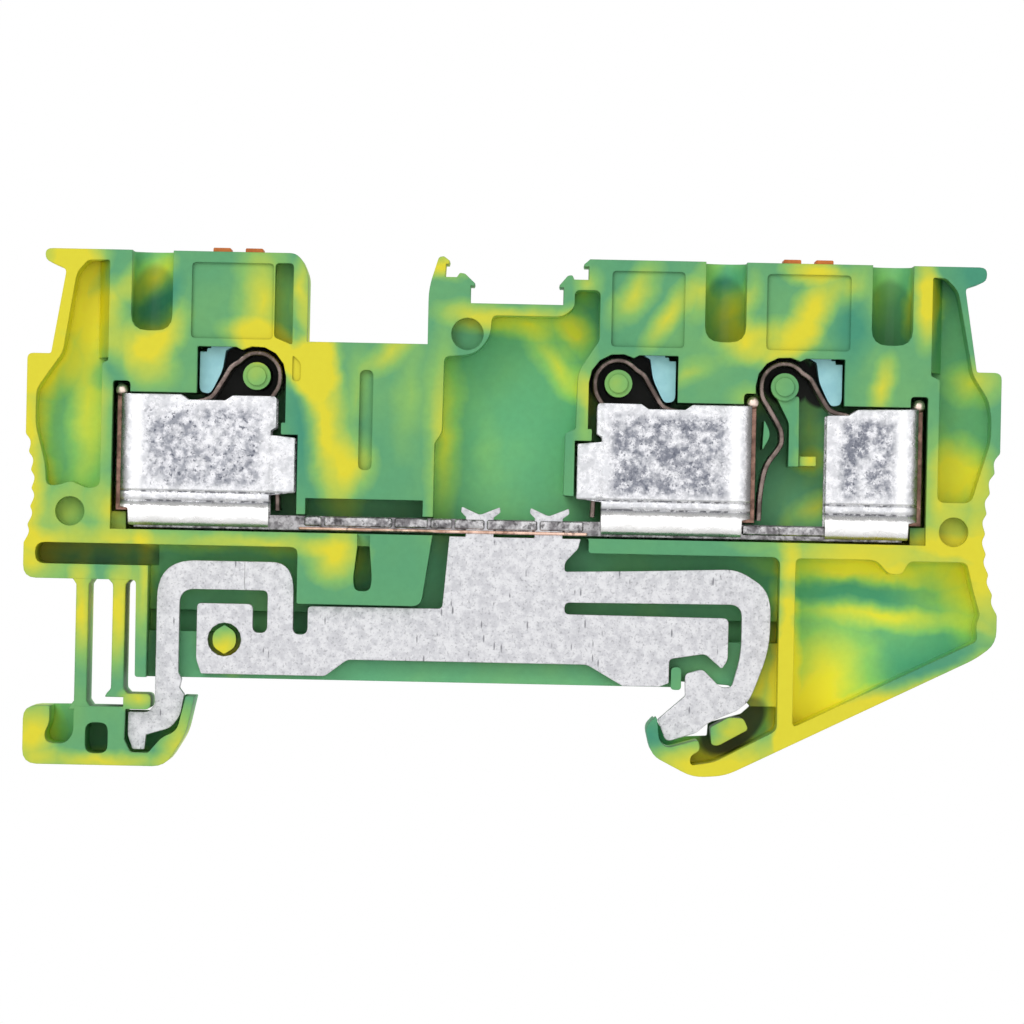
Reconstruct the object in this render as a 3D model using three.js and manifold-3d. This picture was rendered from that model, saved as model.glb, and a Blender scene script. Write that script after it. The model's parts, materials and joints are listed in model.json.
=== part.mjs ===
// Feed-through earth terminal block for a 35 mm mounting rail, three push-in clamp points.
// Frame: origin on the rail seat, midway between the rail edges and midway across the width.
// +X runs along the block, +Y points at its closed side, +Z points away from the rail.
import * as THREE from 'three';
import { mergeVertices } from 'three/addons/utils/BufferGeometryUtils.js';
import Module from 'manifold-3d';

const wasm = await Module();
wasm.setup();

// ---- Driving sizes, millimetres ----
const blockWidth = 6.2; // one block's pitch along the rail
const topHeight = 29.05; // rail seat to the top edge
const leftReach = 28.05; // rail centre to the left end
const rightReach = 38.25; // rail centre to the right end
const footDrop = 6.05; // rail seat to the underside of the feet
const railWidth = 35; // standard rail, edge to edge
const sideWall = 0.9; // closed side of the housing
const fitGap = 0.15; // clearance between neighbouring pieces
const endWall = 0.75; // wall between a clamp cell and the hollow end

const loopHeight = 20.65; // spring loop centres above the rail seat
const loopRadius = 1.6; // spring loop, to the middle of the strip
const springThickness = 0.35;
const bossRadius = 0.95; // moulded boss inside a spring loop
const cellLength = 9.6; // loop centre to the outer face of the contact plate
const cageSheet = 0.4; // sheet of the clamp cages
const cageRise = 8.1; // clamp cages above the current bar
const plateThickness = 0.5; // contact plates
const barThickness = 1.0; // current bar
const barTop = 11.2;
const footSheet = 1.3; // rail foot sheet
const buttonTravel = 1.4;
const buttonStroke = 3.4; // length of a button along the block
const latchTravel = 1.2;
const legThickness = 0.85; // bending legs of the rail latch
const wireBore = 1.5; // radius of a wire entry bore
const entryWidth = 2.8; // wire entry recess
const hollowEndDepth = 3.6;
const pocketDraft = 0.85; // slope of the hollow ends' inner walls, rim to floor
const roundHoleDepth = 1.3;
const slotDepth = 2.2;

// The three clamp cells: loop centre, which way the wire side points, and what differs between them.
const middleX = 12.2;
const cellPitch = cellLength + loopRadius + fitGap; // middle loop to right loop
const cells = [
  { name: 'left', x: -12.45, way: -1, panel: [-1.05, 4.5], capDrop: 0, openSpring: false },
  { name: 'middle', x: middleX, way: 1, panel: [-0.55, 4.4], capDrop: 0.35, openSpring: false },
  { name: 'right', x: middleX + cellPitch, way: 1, panel: [-1.35, 4.35], capDrop: 0, openSpring: true },
];

// ---- Derived levels ----
const yOpen = -blockWidth / 2; // rim on the open side
const yClosed = blockWidth / 2; // outer face of the closed side
const yFloor = yClosed - sideWall; // bottom of the deep pockets
const yCageFront = yOpen + 0.6;
const yCageBack = yFloor - fitGap;
const yPartFront = yCageFront + cageSheet + fitGap; // front of all that sits between the cage walls
const yPartBack = yCageBack - cageSheet - fitGap;
const yFootBack = yPartFront + footSheet;
const yPad = yFootBack + 2 * fitGap; // moulded pad behind the rail foot
const yMidFloor = (yPad + yFloor) / 2;
const yBeyond = yOpen - 1; // start of every cut, clear of the rim
const barBottom = barTop - barThickness;
const clampFloor = barBottom - fitGap; // ledge under the cages and the bar
const cageBottom = clampFloor + 2 * fitGap;
const cageTop = barTop + cageRise;
const stubBottom = barTop + 5.5; // moulded stub that steadies a spring's back leg
const stubTop = stubBottom + 0.8;
const ledgeBottom = clampFloor - 1.0; // underside of that ledge
const leftEnd = -leftReach;
const rightEnd = rightReach;
const top = topHeight;
const shoulder = cageTop + 2.6; // ledges where the hollow ends widen
const chamberTop = loopHeight + loopRadius + 0.35; // roof over the spring loops
const armBay = 6.6; // roof of the bay that the latch legs hang in
const halfStrip = springThickness / 2;
const entryOuter = cellLength - 1.0; // outer side of a wire entry, from the loop centre
const entryMiddle = entryOuter - entryWidth / 2;
const buttonIn = -0.25; // button sides, from the loop centre
const buttonOut = buttonIn + buttonStroke;
const tipOut = loopRadius + 2.3; // outer side of a button's tip
const legUnderTip = loopHeight - 1.55; // clamp leg where the button's tip meets it
const plateOut = cellLength - fitGap;
const plateIn = plateOut - plateThickness;
const cageOut = plateOut - 2 * fitGap; // the cage walls stand either side of the contact plate
const yHollowEnd = yOpen + hollowEndDepth;
const leftPocketSide = cells[0].x - cellLength - fitGap; // outer side of the left cell's pocket
const rightPocketSide = cells[2].x + cellLength + fitGap;
const footTop = clampFloor - 0.05; // top of the rail foot's column, under the bar
const armTop = ledgeBottom - 1.05; // top of the two spring arms
const undersideLow = { x: 20.0, z: -footDrop + 0.15 }; // slanted underside of the right foot
const undersideHigh = { x: rightEnd - 1.3, z: 2.45 };
const armWidth = 1.55;
const armSide = 1.95; // depth of the arm's fixed end
const railEdge = railWidth / 2;
const footHole = { x: -14.3, z: 2.65, radius: 1.15 }; // rail foot's hole over the moulded pin
const earCentres = [2.95, 7.65]; // the foot's two ears, staked over the bar
const neckHalf = 0.95; // half the width of an ear's neck
const roundSteps = 12; // segments in half a round hole or boss
const sheetSteps = 8; // segments in a bend of the rail foot's outline

// ---- Shape helpers ----

// A closed outline from corner points [x, z, radius]; a radius turns the corner into a curve.
function outline(points) {
  const shape = new THREE.Shape();
  const count = points.length;
  points.forEach(([x, z, radius = 0], index) => {
    const before = points[(index + count - 1) % count];
    const after = points[(index + 1) % count];
    const step = (other) => {
      const length = Math.hypot(other[0] - x, other[1] - z);
      const cut = Math.min(radius, 0.45 * length) / length;
      return [x + (other[0] - x) * cut, z + (other[1] - z) * cut];
    };
    const enter = step(before);
    const leave = step(after);
    if (index === 0) {
      shape.moveTo(...enter);
    } else {
      shape.lineTo(...enter);
    }
    if (radius > 0) {
      shape.quadraticCurveTo(x, z, ...leave);
    }
  });
  shape.closePath();
  return shape;
}

// A slab of an outline between two levels across the width.
function slab(shape, yNear, yFar, curveSegments = 4) {
  const depth = yFar - yNear;
  const geometry = new THREE.ExtrudeGeometry(shape, { depth, bevelEnabled: false, curveSegments });
  geometry.rotateX(Math.PI / 2);
  geometry.translate(0, yFar, 0);
  return geometry;
}

function box(x0, x1, y0, y1, z0, z1) {
  const geometry = new THREE.BoxGeometry(x1 - x0, y1 - y0, z1 - z0);
  geometry.translate((x0 + x1) / 2, (y0 + y1) / 2, (z0 + z1) / 2);
  return geometry;
}

function disc(x, z, radius) {
  const shape = new THREE.Shape();
  shape.absarc(x, z, radius, 0, 2 * Math.PI);
  return shape;
}

// A round hole or boss across the width.
function roundSlab(x, z, radius, yNear, yFar) {
  return slab(disc(x, z, radius), yNear, yFar, roundSteps);
}

// A wedge that slopes a pocket's wall from the rim down to the floor, reaching out to one side.
function draftWedge(wallX, reach, z0, z1) {
  const behind = wallX - 0.1 * Math.sign(reach);
  const shape = outline([
    [behind, yOpen + 0.1], [wallX, yOpen + 0.1], [wallX + reach, yHollowEnd + 0.1],
    [behind, yHollowEnd + 0.1],
  ]);
  const geometry = new THREE.ExtrudeGeometry(shape, { depth: z1 - z0, bevelEnabled: false });
  geometry.translate(0, 0, z0);
  return geometry;
}

// An upright round bore along Z.
function upright(x, y, radius, z0, z1) {
  const geometry = new THREE.CylinderGeometry(radius, radius, z1 - z0, 2 * roundSteps);
  geometry.rotateX(Math.PI / 2);
  geometry.translate(x, y, (z0 + z1) / 2);
  return geometry;
}

// The outline of a bent strip: a smooth line through the points, thickened to both sides.
function bentStrip(points, thickness, samples) {
  const line = new THREE.SplineCurve(points.map(([x, z]) => new THREE.Vector2(x, z)));
  const near = [];
  const far = [];
  for (let i = 0; i <= samples; i += 1) {
    const point = line.getPointAt(i / samples);
    const along = line.getTangentAt(i / samples);
    const side = new THREE.Vector2(-along.y, along.x).multiplyScalar(thickness / 2);
    near.push([point.x + side.x, point.y + side.y]);
    far.unshift([point.x - side.x, point.y - side.y]);
  }
  return outline([...near, ...far]);
}

function toSolid(geometry) {
  const bare = geometry.clone();
  bare.deleteAttribute('normal');
  bare.deleteAttribute('uv');
  const merged = mergeVertices(bare, 1e-4);
  const vertProperties = Float32Array.from(merged.attributes.position.array);
  const triVerts = Uint32Array.from(merged.index.array);
  return new wasm.Manifold(new wasm.Mesh({ numProp: 3, vertProperties, triVerts }));
}

function toGeometry(solid) {
  const { numProp, vertProperties, triVerts } = solid.getMesh();
  const count = vertProperties.length / numProp;
  const position = new Float32Array(count * 3);
  for (let i = 0; i < count; i += 1) {
    position.set(vertProperties.subarray(i * numProp, i * numProp + 3), i * 3);
  }
  const geometry = new THREE.BufferGeometry();
  geometry.setAttribute('position', new THREE.BufferAttribute(position, 3));
  geometry.setIndex(new THREE.BufferAttribute(Uint32Array.from(triVerts), 1));
  return geometry;
}

const joined = (geometries) => geometries.map(toSolid).reduce((whole, piece) => whole.add(piece));

// Cell points [u, z, radius]: u runs from the loop centre towards the wire side.
const inCell = (cell, points) => points.map(([u, z, radius]) => [cell.x + cell.way * u, z, radius]);
const cellSpan = (cell, u0, u1) => [cell.x + cell.way * u0, cell.x + cell.way * u1].sort((a, b) => a - b);

// ---- Materials ----
const finish = (color, roughness, metalness) => () =>
  new THREE.MeshStandardMaterial({ color, roughness, metalness });
const greenPolyamide = finish(0x8fc070, 0.55, 0);
const tinnedSteel = finish(0xd4d4d6, 0.4, 0.9);
const tinnedCopper = finish(0xb9b5b4, 0.35, 0.9);
const bareCopper = finish(0xc98a66, 0.35, 0.9);
const springSteel = finish(0x6b6058, 0.35, 0.9);
const blueNylon = finish(0x92c9d2, 0.5, 0);
const orangeNylon = finish(0xd87a2a, 0.5, 0);

const block = new THREE.Group();

function addPart(name, geometry, material) {
  const mesh = new THREE.Mesh(geometry, material());
  mesh.name = name;
  block.add(mesh);
}

// ---- Housing ----

// Scalloped grip edge: teeth on a shallow hollow of the end face, from the upper end to the lower.
function gripEdge(endX, inward, zUpper, zLower, teeth, hollow) {
  const toothDepth = 0.28;
  const pitch = (zUpper - zLower) / teeth;
  const sunk = (z) => hollow * Math.sin((Math.PI * (zUpper - z)) / (zUpper - zLower));
  const points = [];
  for (let i = 0; i <= teeth; i += 1) {
    const z = zUpper - i * pitch;
    points.push([endX + inward * sunk(z), z, 0.12]);
    if (i < teeth) {
      points.push([endX + inward * (sunk(z - pitch / 2) + toothDepth), z - 0.4 * pitch, 0.35]);
    }
  }
  return points;
}

// Marker holder: two posts with snap hooks either side of a groove, seen from the left post.
function markerHolder() {
  const grooveFloor = top - 3.15;
  const seat = top - 1.4;
  const post = [
    [-0.85, top - 6], [-0.85, top - 2.2, 0.8], [-0.2, top - 0.05, 0.2], [0.15, top, 0.05],
    [0.55, top - 0.3], [0.5, top - 0.5], [0.3, top - 0.5], [0.25, seat],
    [1.05, seat], [1.25, top - 1.1, 0.1], [1.6, top - 1.15, 0.1], [2.3, top - 1.8],
    [2.25, top - 1.95], [2.0, top - 1.95], [2.0, grooveFloor, 0.05],
  ];
  const farPost = [
    [8.35, grooveFloor, 0.05], [8.35, top - 1.95], [8.1, top - 1.95], [8.05, top - 1.8],
    [8.6, top - 1.15, 0.1], [8.9, top - 1.1, 0.1], [9.05, seat], [10.05, seat],
    [10.05, top - 0.5], [9.75, top - 0.5], [9.7, top - 0.35], [10.1, top],
  ];
  return [...post, ...farPost];
}

function housingOutline() {
  const neck = railEdge - 0.4;
  return outline([
    [leftEnd + 1.1, top - 0.8, 0.4], [leftEnd + 1.1, top, 0.5],
    [-10, top, 0.35], [-9.5, top - 0.4, 0.4], [-9.05, top - 1.5, 0.4], [-9.05, top - 6],
    ...markerHolder(),
    [rightEnd - 1.15, top, 0.5], [rightEnd - 1.15, top - 0.95, 0.4], [rightEnd - 2.6, top - 1.45, 0.3],
    [rightEnd - 1.7, shoulder, 0.15], [rightEnd, shoulder, 0.5],
    ...gripEdge(rightEnd, -1, 16.4, 5.4, 8, 0.9),
    [rightEnd, 3.5, 0.9], [undersideHigh.x, undersideHigh.z, 0.8],
    [undersideLow.x, undersideLow.z, 0.8], [17.8, -footDrop, 0.8], [14.95, -4.6, 0.7], [14.5, -2.7, 0.5],
    [15.05, -2.1, 0.2], [neck, -0.65], [neck, 0],
    [-20.3, 0, 0.2], [-20.35, armBay, 0.3],
    [leftEnd, armBay, 0.9], [leftEnd, 8.9, 0.4],
    ...gripEdge(leftEnd, 1, 16.4, 9.0, 6, 0.45).reverse(),
    [leftEnd, shoulder, 0.4], [leftEnd + 1.6, shoulder, 0.15], [leftEnd + 2.55, top - 1.4, 0.3],
  ]);
}

// Space around the metal rail foot, open towards the rail; it runs on into the right foot's hook pocket.
function footChamber() {
  const railSide = -footDrop - 1;
  const ribLeft = 23.45;
  return outline([
    [-19.55, ledgeBottom, 0.5], [-9.4, ledgeBottom, 0.5], [-9.4, 5.2, 0.15], [-0.95, 5.2, 0.6],
    [-0.25, clampFloor, 0], [10.4, clampFloor, 0.2], [10.4, ledgeBottom, 0.2], [ribLeft, ledgeBottom, 0.6],
    [ribLeft, -2.75, 0.4], [19.2, -5.0, 0.5], [17.6, -5.25, 0.3], [17.6, -4.6, 0.3],
    [18.25, -4.2, 0.25], [18.15, -3.5, 0.25], [16.0, -4.1, 0.4], [15.45, -3.6, 0.4],
    [15.3, -2.1, 0.1], [14.6, -1.2, 0], [14.4, railSide, 0], [-19.55, railSide, 0],
  ]);
}

// Pocket of one clamp cell: cage, loop and button tip.
function cellPocket(cell) {
  const loopSpace = loopRadius + halfStrip + 0.25;
  const cageIn = -2.9;
  const outer = cellLength + fitGap;
  const turn = (degrees) => [
    loopSpace * Math.cos(THREE.MathUtils.degToRad(degrees)),
    loopHeight + loopSpace * Math.sin(THREE.MathUtils.degToRad(degrees)),
  ];
  const inside = cell.openSpring
    ? [[-2.0, clampFloor], [-2.0, loopHeight - 0.8, 0.3]]
    : [
      [-0.9, clampFloor], [-0.9, barTop + 0.1], [cageIn, barTop + 0.1], [cageIn, stubBottom],
      [-1.75, stubBottom, 0.1], [-1.75, stubTop, 0.1], [-loopSpace, stubTop],
    ];
  return outline(inCell(cell, [
    ...inside,
    [-loopSpace, loopHeight], turn(155), turn(130), turn(105), turn(80), turn(60),
    [loopRadius - 0.2, chamberTop], [tipOut + fitGap, chamberTop, 0.1], [tipOut + fitGap, cageTop + 0.12],
    [outer - 1.2, cageTop + 0.12], [outer - 1.2, cageTop + 0.85, 0.3], [outer, cageTop + 0.85, 0.2],
    [outer, clampFloor],
  ]));
}

function leftEndPocket() {
  const wallX = leftPocketSide - endWall;
  return outline([
    [wallX + 0.4, top - 0.7, 0.2], [leftEnd + 4.0, top - 0.75, 0.2], [leftEnd + 3.25, top - 1.6, 0.4],
    [leftEnd + 2.4, shoulder + 0.1, 0.4], [leftEnd + 1.1, shoulder - 1.8, 0.3],
    [leftEnd + 0.65, shoulder - 2.5, 0.5], [leftEnd + 0.65, 17.0, 0.6], [leftEnd + 1.35, 14.4, 0.5],
    [leftEnd + 1.45, 12.9, 0.5], [leftEnd + 2.3, 12.95, 0.3], [leftEnd + 3.1, 13.25, 0.3],
    [leftEnd + 4.3, 12.75, 0.3], [wallX, 12.95, 0.4], [wallX, 21.3, 0.1], [wallX + 0.4, 21.5, 0.1],
  ]);
}

function rightEndPocket() {
  const wallX = rightPocketSide + endWall;
  return outline([
    [wallX - 0.6, top - 0.75, 0.2], [rightEnd - 3.9, top - 0.8, 0.2], [rightEnd - 3.1, top - 1.6, 0.4],
    [rightEnd - 2.9, top - 2.4, 0.4], [rightEnd - 1.95, shoulder - 0.2, 0.4],
    [rightEnd - 0.85, shoulder - 1.9, 0.5], [rightEnd - 0.65, shoulder - 3.0, 0.5],
    [rightEnd - 0.65, 17.2, 0.6], [rightEnd - 1.5, 14.4, 0.6], [rightEnd - 1.9, 13.0, 0.5],
    [wallX, 13.0, 0.5], [wallX, 21.3, 0.1], [wallX - 0.6, 21.6, 0.1],
  ]);
}

// Large hollow in the right foot, its lower side along the slanted underside.
function lowerHollow() {
  const underWall = 1.15; // upright thickness of the underside's wall
  const slope = (undersideHigh.z - undersideLow.z) / (undersideHigh.x - undersideLow.x);
  const zUnder = (x) => undersideLow.z + slope * (x - undersideLow.x) + underWall;
  const farX = rightEnd - 1.4;
  return outline([
    [24.5, ledgeBottom - 0.05, 0.4], [30.0, ledgeBottom - 0.05, 0.5], [30.85, ledgeBottom - 1.0, 0.3],
    [31.75, ledgeBottom - 1.0, 0.3], [32.2, ledgeBottom - 0.1, 0.4], [rightEnd - 2.1, ledgeBottom - 0.1, 0.4],
    [rightEnd - 1.7, 7.3, 0.3], [rightEnd - 1.15, 5.4, 0.2], [farX, 4.7, 0.3], [rightEnd - 1.3, 3.9, 0.3],
    [farX, zUnder(farX), 0.4], [24.5, zUnder(24.5), 0.4],
  ]);
}

// Deep hollow under the marker holder, reaching down to the current bar.
function centreHollow() {
  return outline([
    [0.3, top - 6.8, 0.4], [2.4, top - 6.65, 0.9], [3.4, top - 5.4, 0.6], [3.5, top - 3.95, 0.4],
    [8.3, top - 3.95, 0.4], [9.1, top - 3.3, 0.3], [9.1, top - 2.1, 0.4], [10.85, top - 2.1, 0.4],
    [10.85, top - 5.5, 0.3], [9.45, 21.4, 0.5], [9.35, 17.5, 0.1], [8.65, 17.2, 0.2],
    [8.6, 12.95, 0.1], [9.4, 12.9, 0], [9.4, clampFloor, 0], [-0.25, clampFloor, 0],
    [-0.25, 16.3, 0.2], [0.25, 17.1, 0.2],
  ]);
}

// Window in the closed side behind the right hook.
function hookWindow() {
  return outline([
    [railEdge - 0.6, 0.4], [20.3, 0.2, 0.3], [21.75, -1.25, 0.1], [21.15, -1.8, 0.1],
    [18.9, -2.45, 0.1], [18.85, -3.35, 0.1], [16.0, -3.5, 0.3], [15.4, -2.4, 0.1], [14.6, -1.6],
  ]);
}

// Shaft of a button, open at the top edge, with its guide wall left standing on the open side.
function buttonShaft(cell) {
  const [x0, x1] = cellSpan(cell, buttonIn - fitGap, buttonOut + fitGap);
  return box(x0, x1, yPartFront - fitGap, yPartBack + fitGap, chamberTop - 0.1, top + 1);
}

// Wire entry: an open recess with a round back, then a round bore down to the cage.
function wireEntry(cell) {
  const funnelBottom = cageTop + 4.3;
  const radius = entryWidth / 2;
  const recess = outline(inCell(cell, [
    [entryOuter - entryWidth, top + 1], [entryOuter - entryWidth, funnelBottom, 1.1],
    [entryOuter, funnelBottom, 1.1], [entryOuter, top + 1],
  ]));
  const yMiddle = (yPartFront + yPartBack) / 2;
  const yRound = yPartBack + fitGap - radius;
  const boreX = cell.x + cell.way * entryMiddle;
  const back = toSolid(upright(boreX, yRound, radius, funnelBottom - 1, top + 1));
  const front = toSolid(box(boreX - radius, boreX + radius, yBeyond, yRound, funnelBottom - 1, top + 1));
  const funnel = toSolid(slab(recess, yBeyond, yPartBack + fitGap)).intersect(front.add(back));
  return funnel.add(toSolid(upright(boreX, yMiddle, wireBore, cageTop, funnelBottom + 1)));
}

function cellPanel(cell) {
  const panelDepth = 0.3;
  const [inner, outer] = cell.panel;
  const low = chamberTop + 0.55;
  const high = top - 0.75;
  const shape = outline(inCell(cell, [
    [inner, low, 0.3], [inner, high, 0.3], [outer, high, 0.3], [outer, low, 0.3],
  ]));
  return slab(shape, yBeyond, yOpen + panelDepth);
}

// Recesses in the rim face that don't hold a piece.
function rimRecesses() {
  const shallow = yOpen + 0.5;
  const deep = yFloor - 0.7;
  const holeFloor = yOpen + roundHoleDepth;
  const grooveX = -4.95;
  const slot = [
    [-11.3, top - 0.7, 0.3], [-10.05, top - 0.7, 0.3], [-10.05, chamberTop + 0.2, 0.2],
    [-11.3, chamberTop + 0.7, 0.2],
  ];
  const crease = [[-10.0, 22.1, 0.15], [-9.45, 21.6, 0.25], [-9.45, 20.35, 0.25], [-10.0, 20.35, 0.25]];
  const groove = [
    [grooveX - 0.45, 21.2, 0.4], [grooveX + 0.45, 21.2, 0.4], [grooveX + 0.45, 14.4, 0.4],
    [grooveX - 0.45, 14.4, 0.4],
  ];
  const keyhole = [
    [grooveX - 0.4, 9.2], [grooveX + 0.45, 9.2], [grooveX + 0.65, 6.9, 0.4], [grooveX + 0.5, 6.15, 0.4],
    [grooveX - 0.5, 6.15, 0.4], [grooveX - 0.65, 6.9, 0.4],
  ];
  const barPocket = [[-8.95, clampFloor], [-8.95, barTop + 1.2], [-0.95, barTop + 1.2], [-0.95, clampFloor]];
  return [
    slab(outline(slot), yBeyond, yOpen + slotDepth),
    slab(outline(crease), yBeyond, yOpen + 0.2),
    slab(outline(groove), yBeyond, shallow),
    slab(outline(keyhole), yBeyond, deep),
    box(grooveX - 0.4, grooveX + 0.45, yBeyond, yOpen + 1, 9.1, clampFloor + 0.2),
    slab(outline(barPocket), yBeyond, yFloor),
    roundSlab(leftEnd + 3.1, 11.2, 1.0, yBeyond, holeFloor),
    roundSlab(rightEnd - 3.05, 11.0, 1.0, yBeyond, holeFloor),
    roundSlab(1.85, top - 5.25, 1.1, yBeyond, holeFloor),
  ];
}

// Channels joined to the rail foot's space: the long slot at the left and the bar's way through.
function channels() {
  const slotShape = outline([
    [leftEnd + 0.8, ledgeBottom, 0.65], [-19.0, ledgeBottom], [-19.0, armBay + 1],
    [leftEnd + 0.8, armBay + 1, 0.65],
  ]);
  return [
    slab(slotShape, yBeyond, yFloor),
    box(cells[0].x, cells[2].x, yBeyond, yFloor, clampFloor, barTop + 0.1),
  ];
}

// Bosses, pins and ribs that stand on the pocket floors.
function mouldedDetails() {
  const yTall = yPartFront - 0.25;
  const pinHigh = footHole.radius - fitGap;
  const pinWide = 0.8 * pinHigh;
  const pin = [
    [0, pinHigh, 0.1], [pinWide, 0.5 * pinHigh, 0.45], [pinWide, -0.5 * pinHigh, 0.45],
    [0, -pinHigh, 0.1], [-pinWide, -0.5 * pinHigh, 0.45], [-pinWide, 0.5 * pinHigh, 0.45],
  ].map(([x, z, radius]) => [footHole.x + x, footHole.z + z, radius]);
  const open = cells[2].x;
  const stem = [
    [open - 0.5, loopHeight - 0.8], [open + 1.0, loopHeight - 0.6, 0.2], [open + 1.05, 15.25],
    [open + 0.35, 15.25], [open + 0.35, 18.2, 0.3],
  ];
  const lens = [
    [open - 1.45, 16.3, 0.2], [open - 0.85, 17.4, 0.5], [open - 1.35, 18.4, 0.2],
  ];
  const hookBlock = [
    [18.95, -2.65, 0.15], [19.05, -3.85, 0.2], [19.5, -3.9, 0.2], [21.55, -2.75, 0.25], [21.2, -2.0, 0.2],
    [20.2, -1.95, 0.1],
  ];
  const stub = [[16.2, -0.15, 0.25], [16.2, 1.4, 0.3], [16.9, 1.4, 0.3], [16.9, -0.15, 0.25]];
  const corners = [cells[0], cells[2]].map((cell) => {
    const [x0, x1] = cellSpan(cell, cageOut - 0.55 + fitGap, cellLength + fitGap + 0.1);
    return box(x0, x1, yOpen + 1.6, yFloor + 0.1, clampFloor - 0.1, barTop + 0.05);
  });
  return [
    ...cells.map((cell) => roundSlab(cell.x, loopHeight, bossRadius, yTall, yFloor + 0.1)),
    ...cells.map((cell) => roundSlab(cell.x, loopHeight, bossRadius - 0.3, yTall - 0.2, yTall + 0.1)),
    slab(outline(pin), yPartFront - 0.1, yMidFloor + 0.2),
    slab(outline(stem), yTall + 0.3, yFloor + 0.1),
    slab(outline(lens), yTall + 0.3, yFloor + 0.1),
    box(open + 1.1, open + 2.25, yTall + 0.6, yFloor + 0.1, 15.3, 15.95),
    slab(outline(hookBlock), yOpen + 1.1, yFloor + 0.1),
    slab(outline(stub), yPartFront, yPad + 0.2),
    draftWedge(leftPocketSide - endWall + 0.4, -pocketDraft, shoulder - 0.2, top - 0.75),
    draftWedge(rightPocketSide + endWall - 0.6, pocketDraft, shoulder - 0.1, top - 0.8),
    ...corners,
  ];
}

function housing() {
  let body = toSolid(slab(housingOutline(), yOpen, yClosed));
  const chamber = footChamber();
  body = body.subtract(toSolid(slab(chamber, yBeyond, yPad)));
  const deeper = (yDepth, z0, z1, x0 = leftEnd, x1 = rightEnd) =>
    toSolid(slab(chamber, yBeyond, yDepth)).intersect(toSolid(box(x0, x1, yBeyond, yDepth, z0, z1)));
  body = body.subtract(deeper(yMidFloor, 3.15, top));
  body = body.subtract(deeper(yFloor - 0.2, 3.15, 4.6));
  body = body.subtract(deeper(yFloor, -footDrop, -1.2, 15, 24));
  const cuts = [
    ...cells.map((cell) => slab(cellPocket(cell), yBeyond, yFloor)),
    ...cells.map(cellPanel),
    ...cells.map(buttonShaft),
    slab(leftEndPocket(), yBeyond, yHollowEnd),
    slab(rightEndPocket(), yBeyond, yHollowEnd),
    slab(lowerHollow(), yBeyond, yFloor),
    slab(centreHollow(), yBeyond, yFloor),
    ...rimRecesses(),
    ...channels(),
  ];
  cuts.forEach((cut) => {
    body = body.subtract(toSolid(cut));
  });
  cells.forEach((cell) => {
    body = body.subtract(wireEntry(cell));
  });
  mouldedDetails().forEach((detail) => {
    body = body.add(toSolid(detail));
  });
  const window = toSolid(slab(hookWindow(), yPad - 0.3, yClosed + 1));
  return toGeometry(body.subtract(window));
}

addPart('housing', housing(), greenPolyamide);

// ---- Rail latch: moulded foot on two bending legs ----
const latchTop = -2.1;
const latchEnd = leftEnd + 0.2;
const legInner = [-21.9, -21.9 + legThickness];
const legOuter = [-24.4, -24.4 + legThickness];
const nubTop = -1.15;

function latchFoot() {
  const shape = outline([
    [latchEnd, latchTop, 0.9], [legOuter[0], latchTop + 0.05, 0.1], [legInner[1], latchTop + 0.05],
    [legInner[1], nubTop], [-19.2, nubTop, 0.35], [-19.2, -2.2, 0.35],
    [-20.9, -2.2, 0.1], [-20.95, -4.3, 0.2], [-20.5, -5.15, 0.2], [-19.3, -5.15, 0.1], [-18.4, -4.1, 0.3],
    [-17.35, -3.6, 0.5], [-16.8, -1.25, 0.05], [-16.2, -1.25, 0.1], [-16.75, -3.8, 0.6],
    [-18.1, -footDrop, 0.9], [latchEnd, -footDrop, 1.0],
  ]);
  const driverNotch = outline([
    [-26.05, latchTop + 1], [-24.4, latchTop + 1], [-24.4, -4.0, 0.5], [-25.0, -4.65, 0.4],
    [-26.2, -4.6, 0.4], [-26.4, -4.0, 0.3], [-26.05, -3.2, 0.3],
  ]);
  const relief = outline([
    [-23.6, -3.15, 0.6], [-22.05, -3.15, 0.6], [-22.05, -5.25, 0.6], [-23.6, -5.25, 0.6],
  ]);
  const back = outline([
    [-21.2, -2.4], [-19.25, -2.4], [-17.0, -1.25], [-16.2, -1.25, 0.1], [-16.75, -3.8, 0.6],
    [-18.1, -footDrop, 0.9], [-21.2, -footDrop],
  ]);
  return toGeometry(
    toSolid(slab(shape, yOpen, yClosed))
      .subtract(toSolid(slab(driverNotch, yBeyond, yFloor)))
      .subtract(toSolid(slab(relief, yBeyond, yFloor)))
      .add(toSolid(slab(back, yFloor, yClosed)))
  );
}

addPart('latch_foot', latchFoot(), greenPolyamide);

const legTop = armBay - fitGap;
const legBottom = { outer: latchTop + 0.05 + fitGap, inner: nubTop + fitGap };

[['outer', legOuter], ['inner', legInner]].forEach(([side, [x0, x1]]) => {
  addPart(`latch_leg_${side}`, box(x0, x1, yOpen, yClosed, legBottom[side], legTop), greenPolyamide);
});

// ---- Metal rail foot ----
const armOuter = -18.95;
const armInner = armOuter + armWidth;
const armSplit = -0.2; // top of the hook piece, below the housing's edge; the bending arm ends above it

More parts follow.
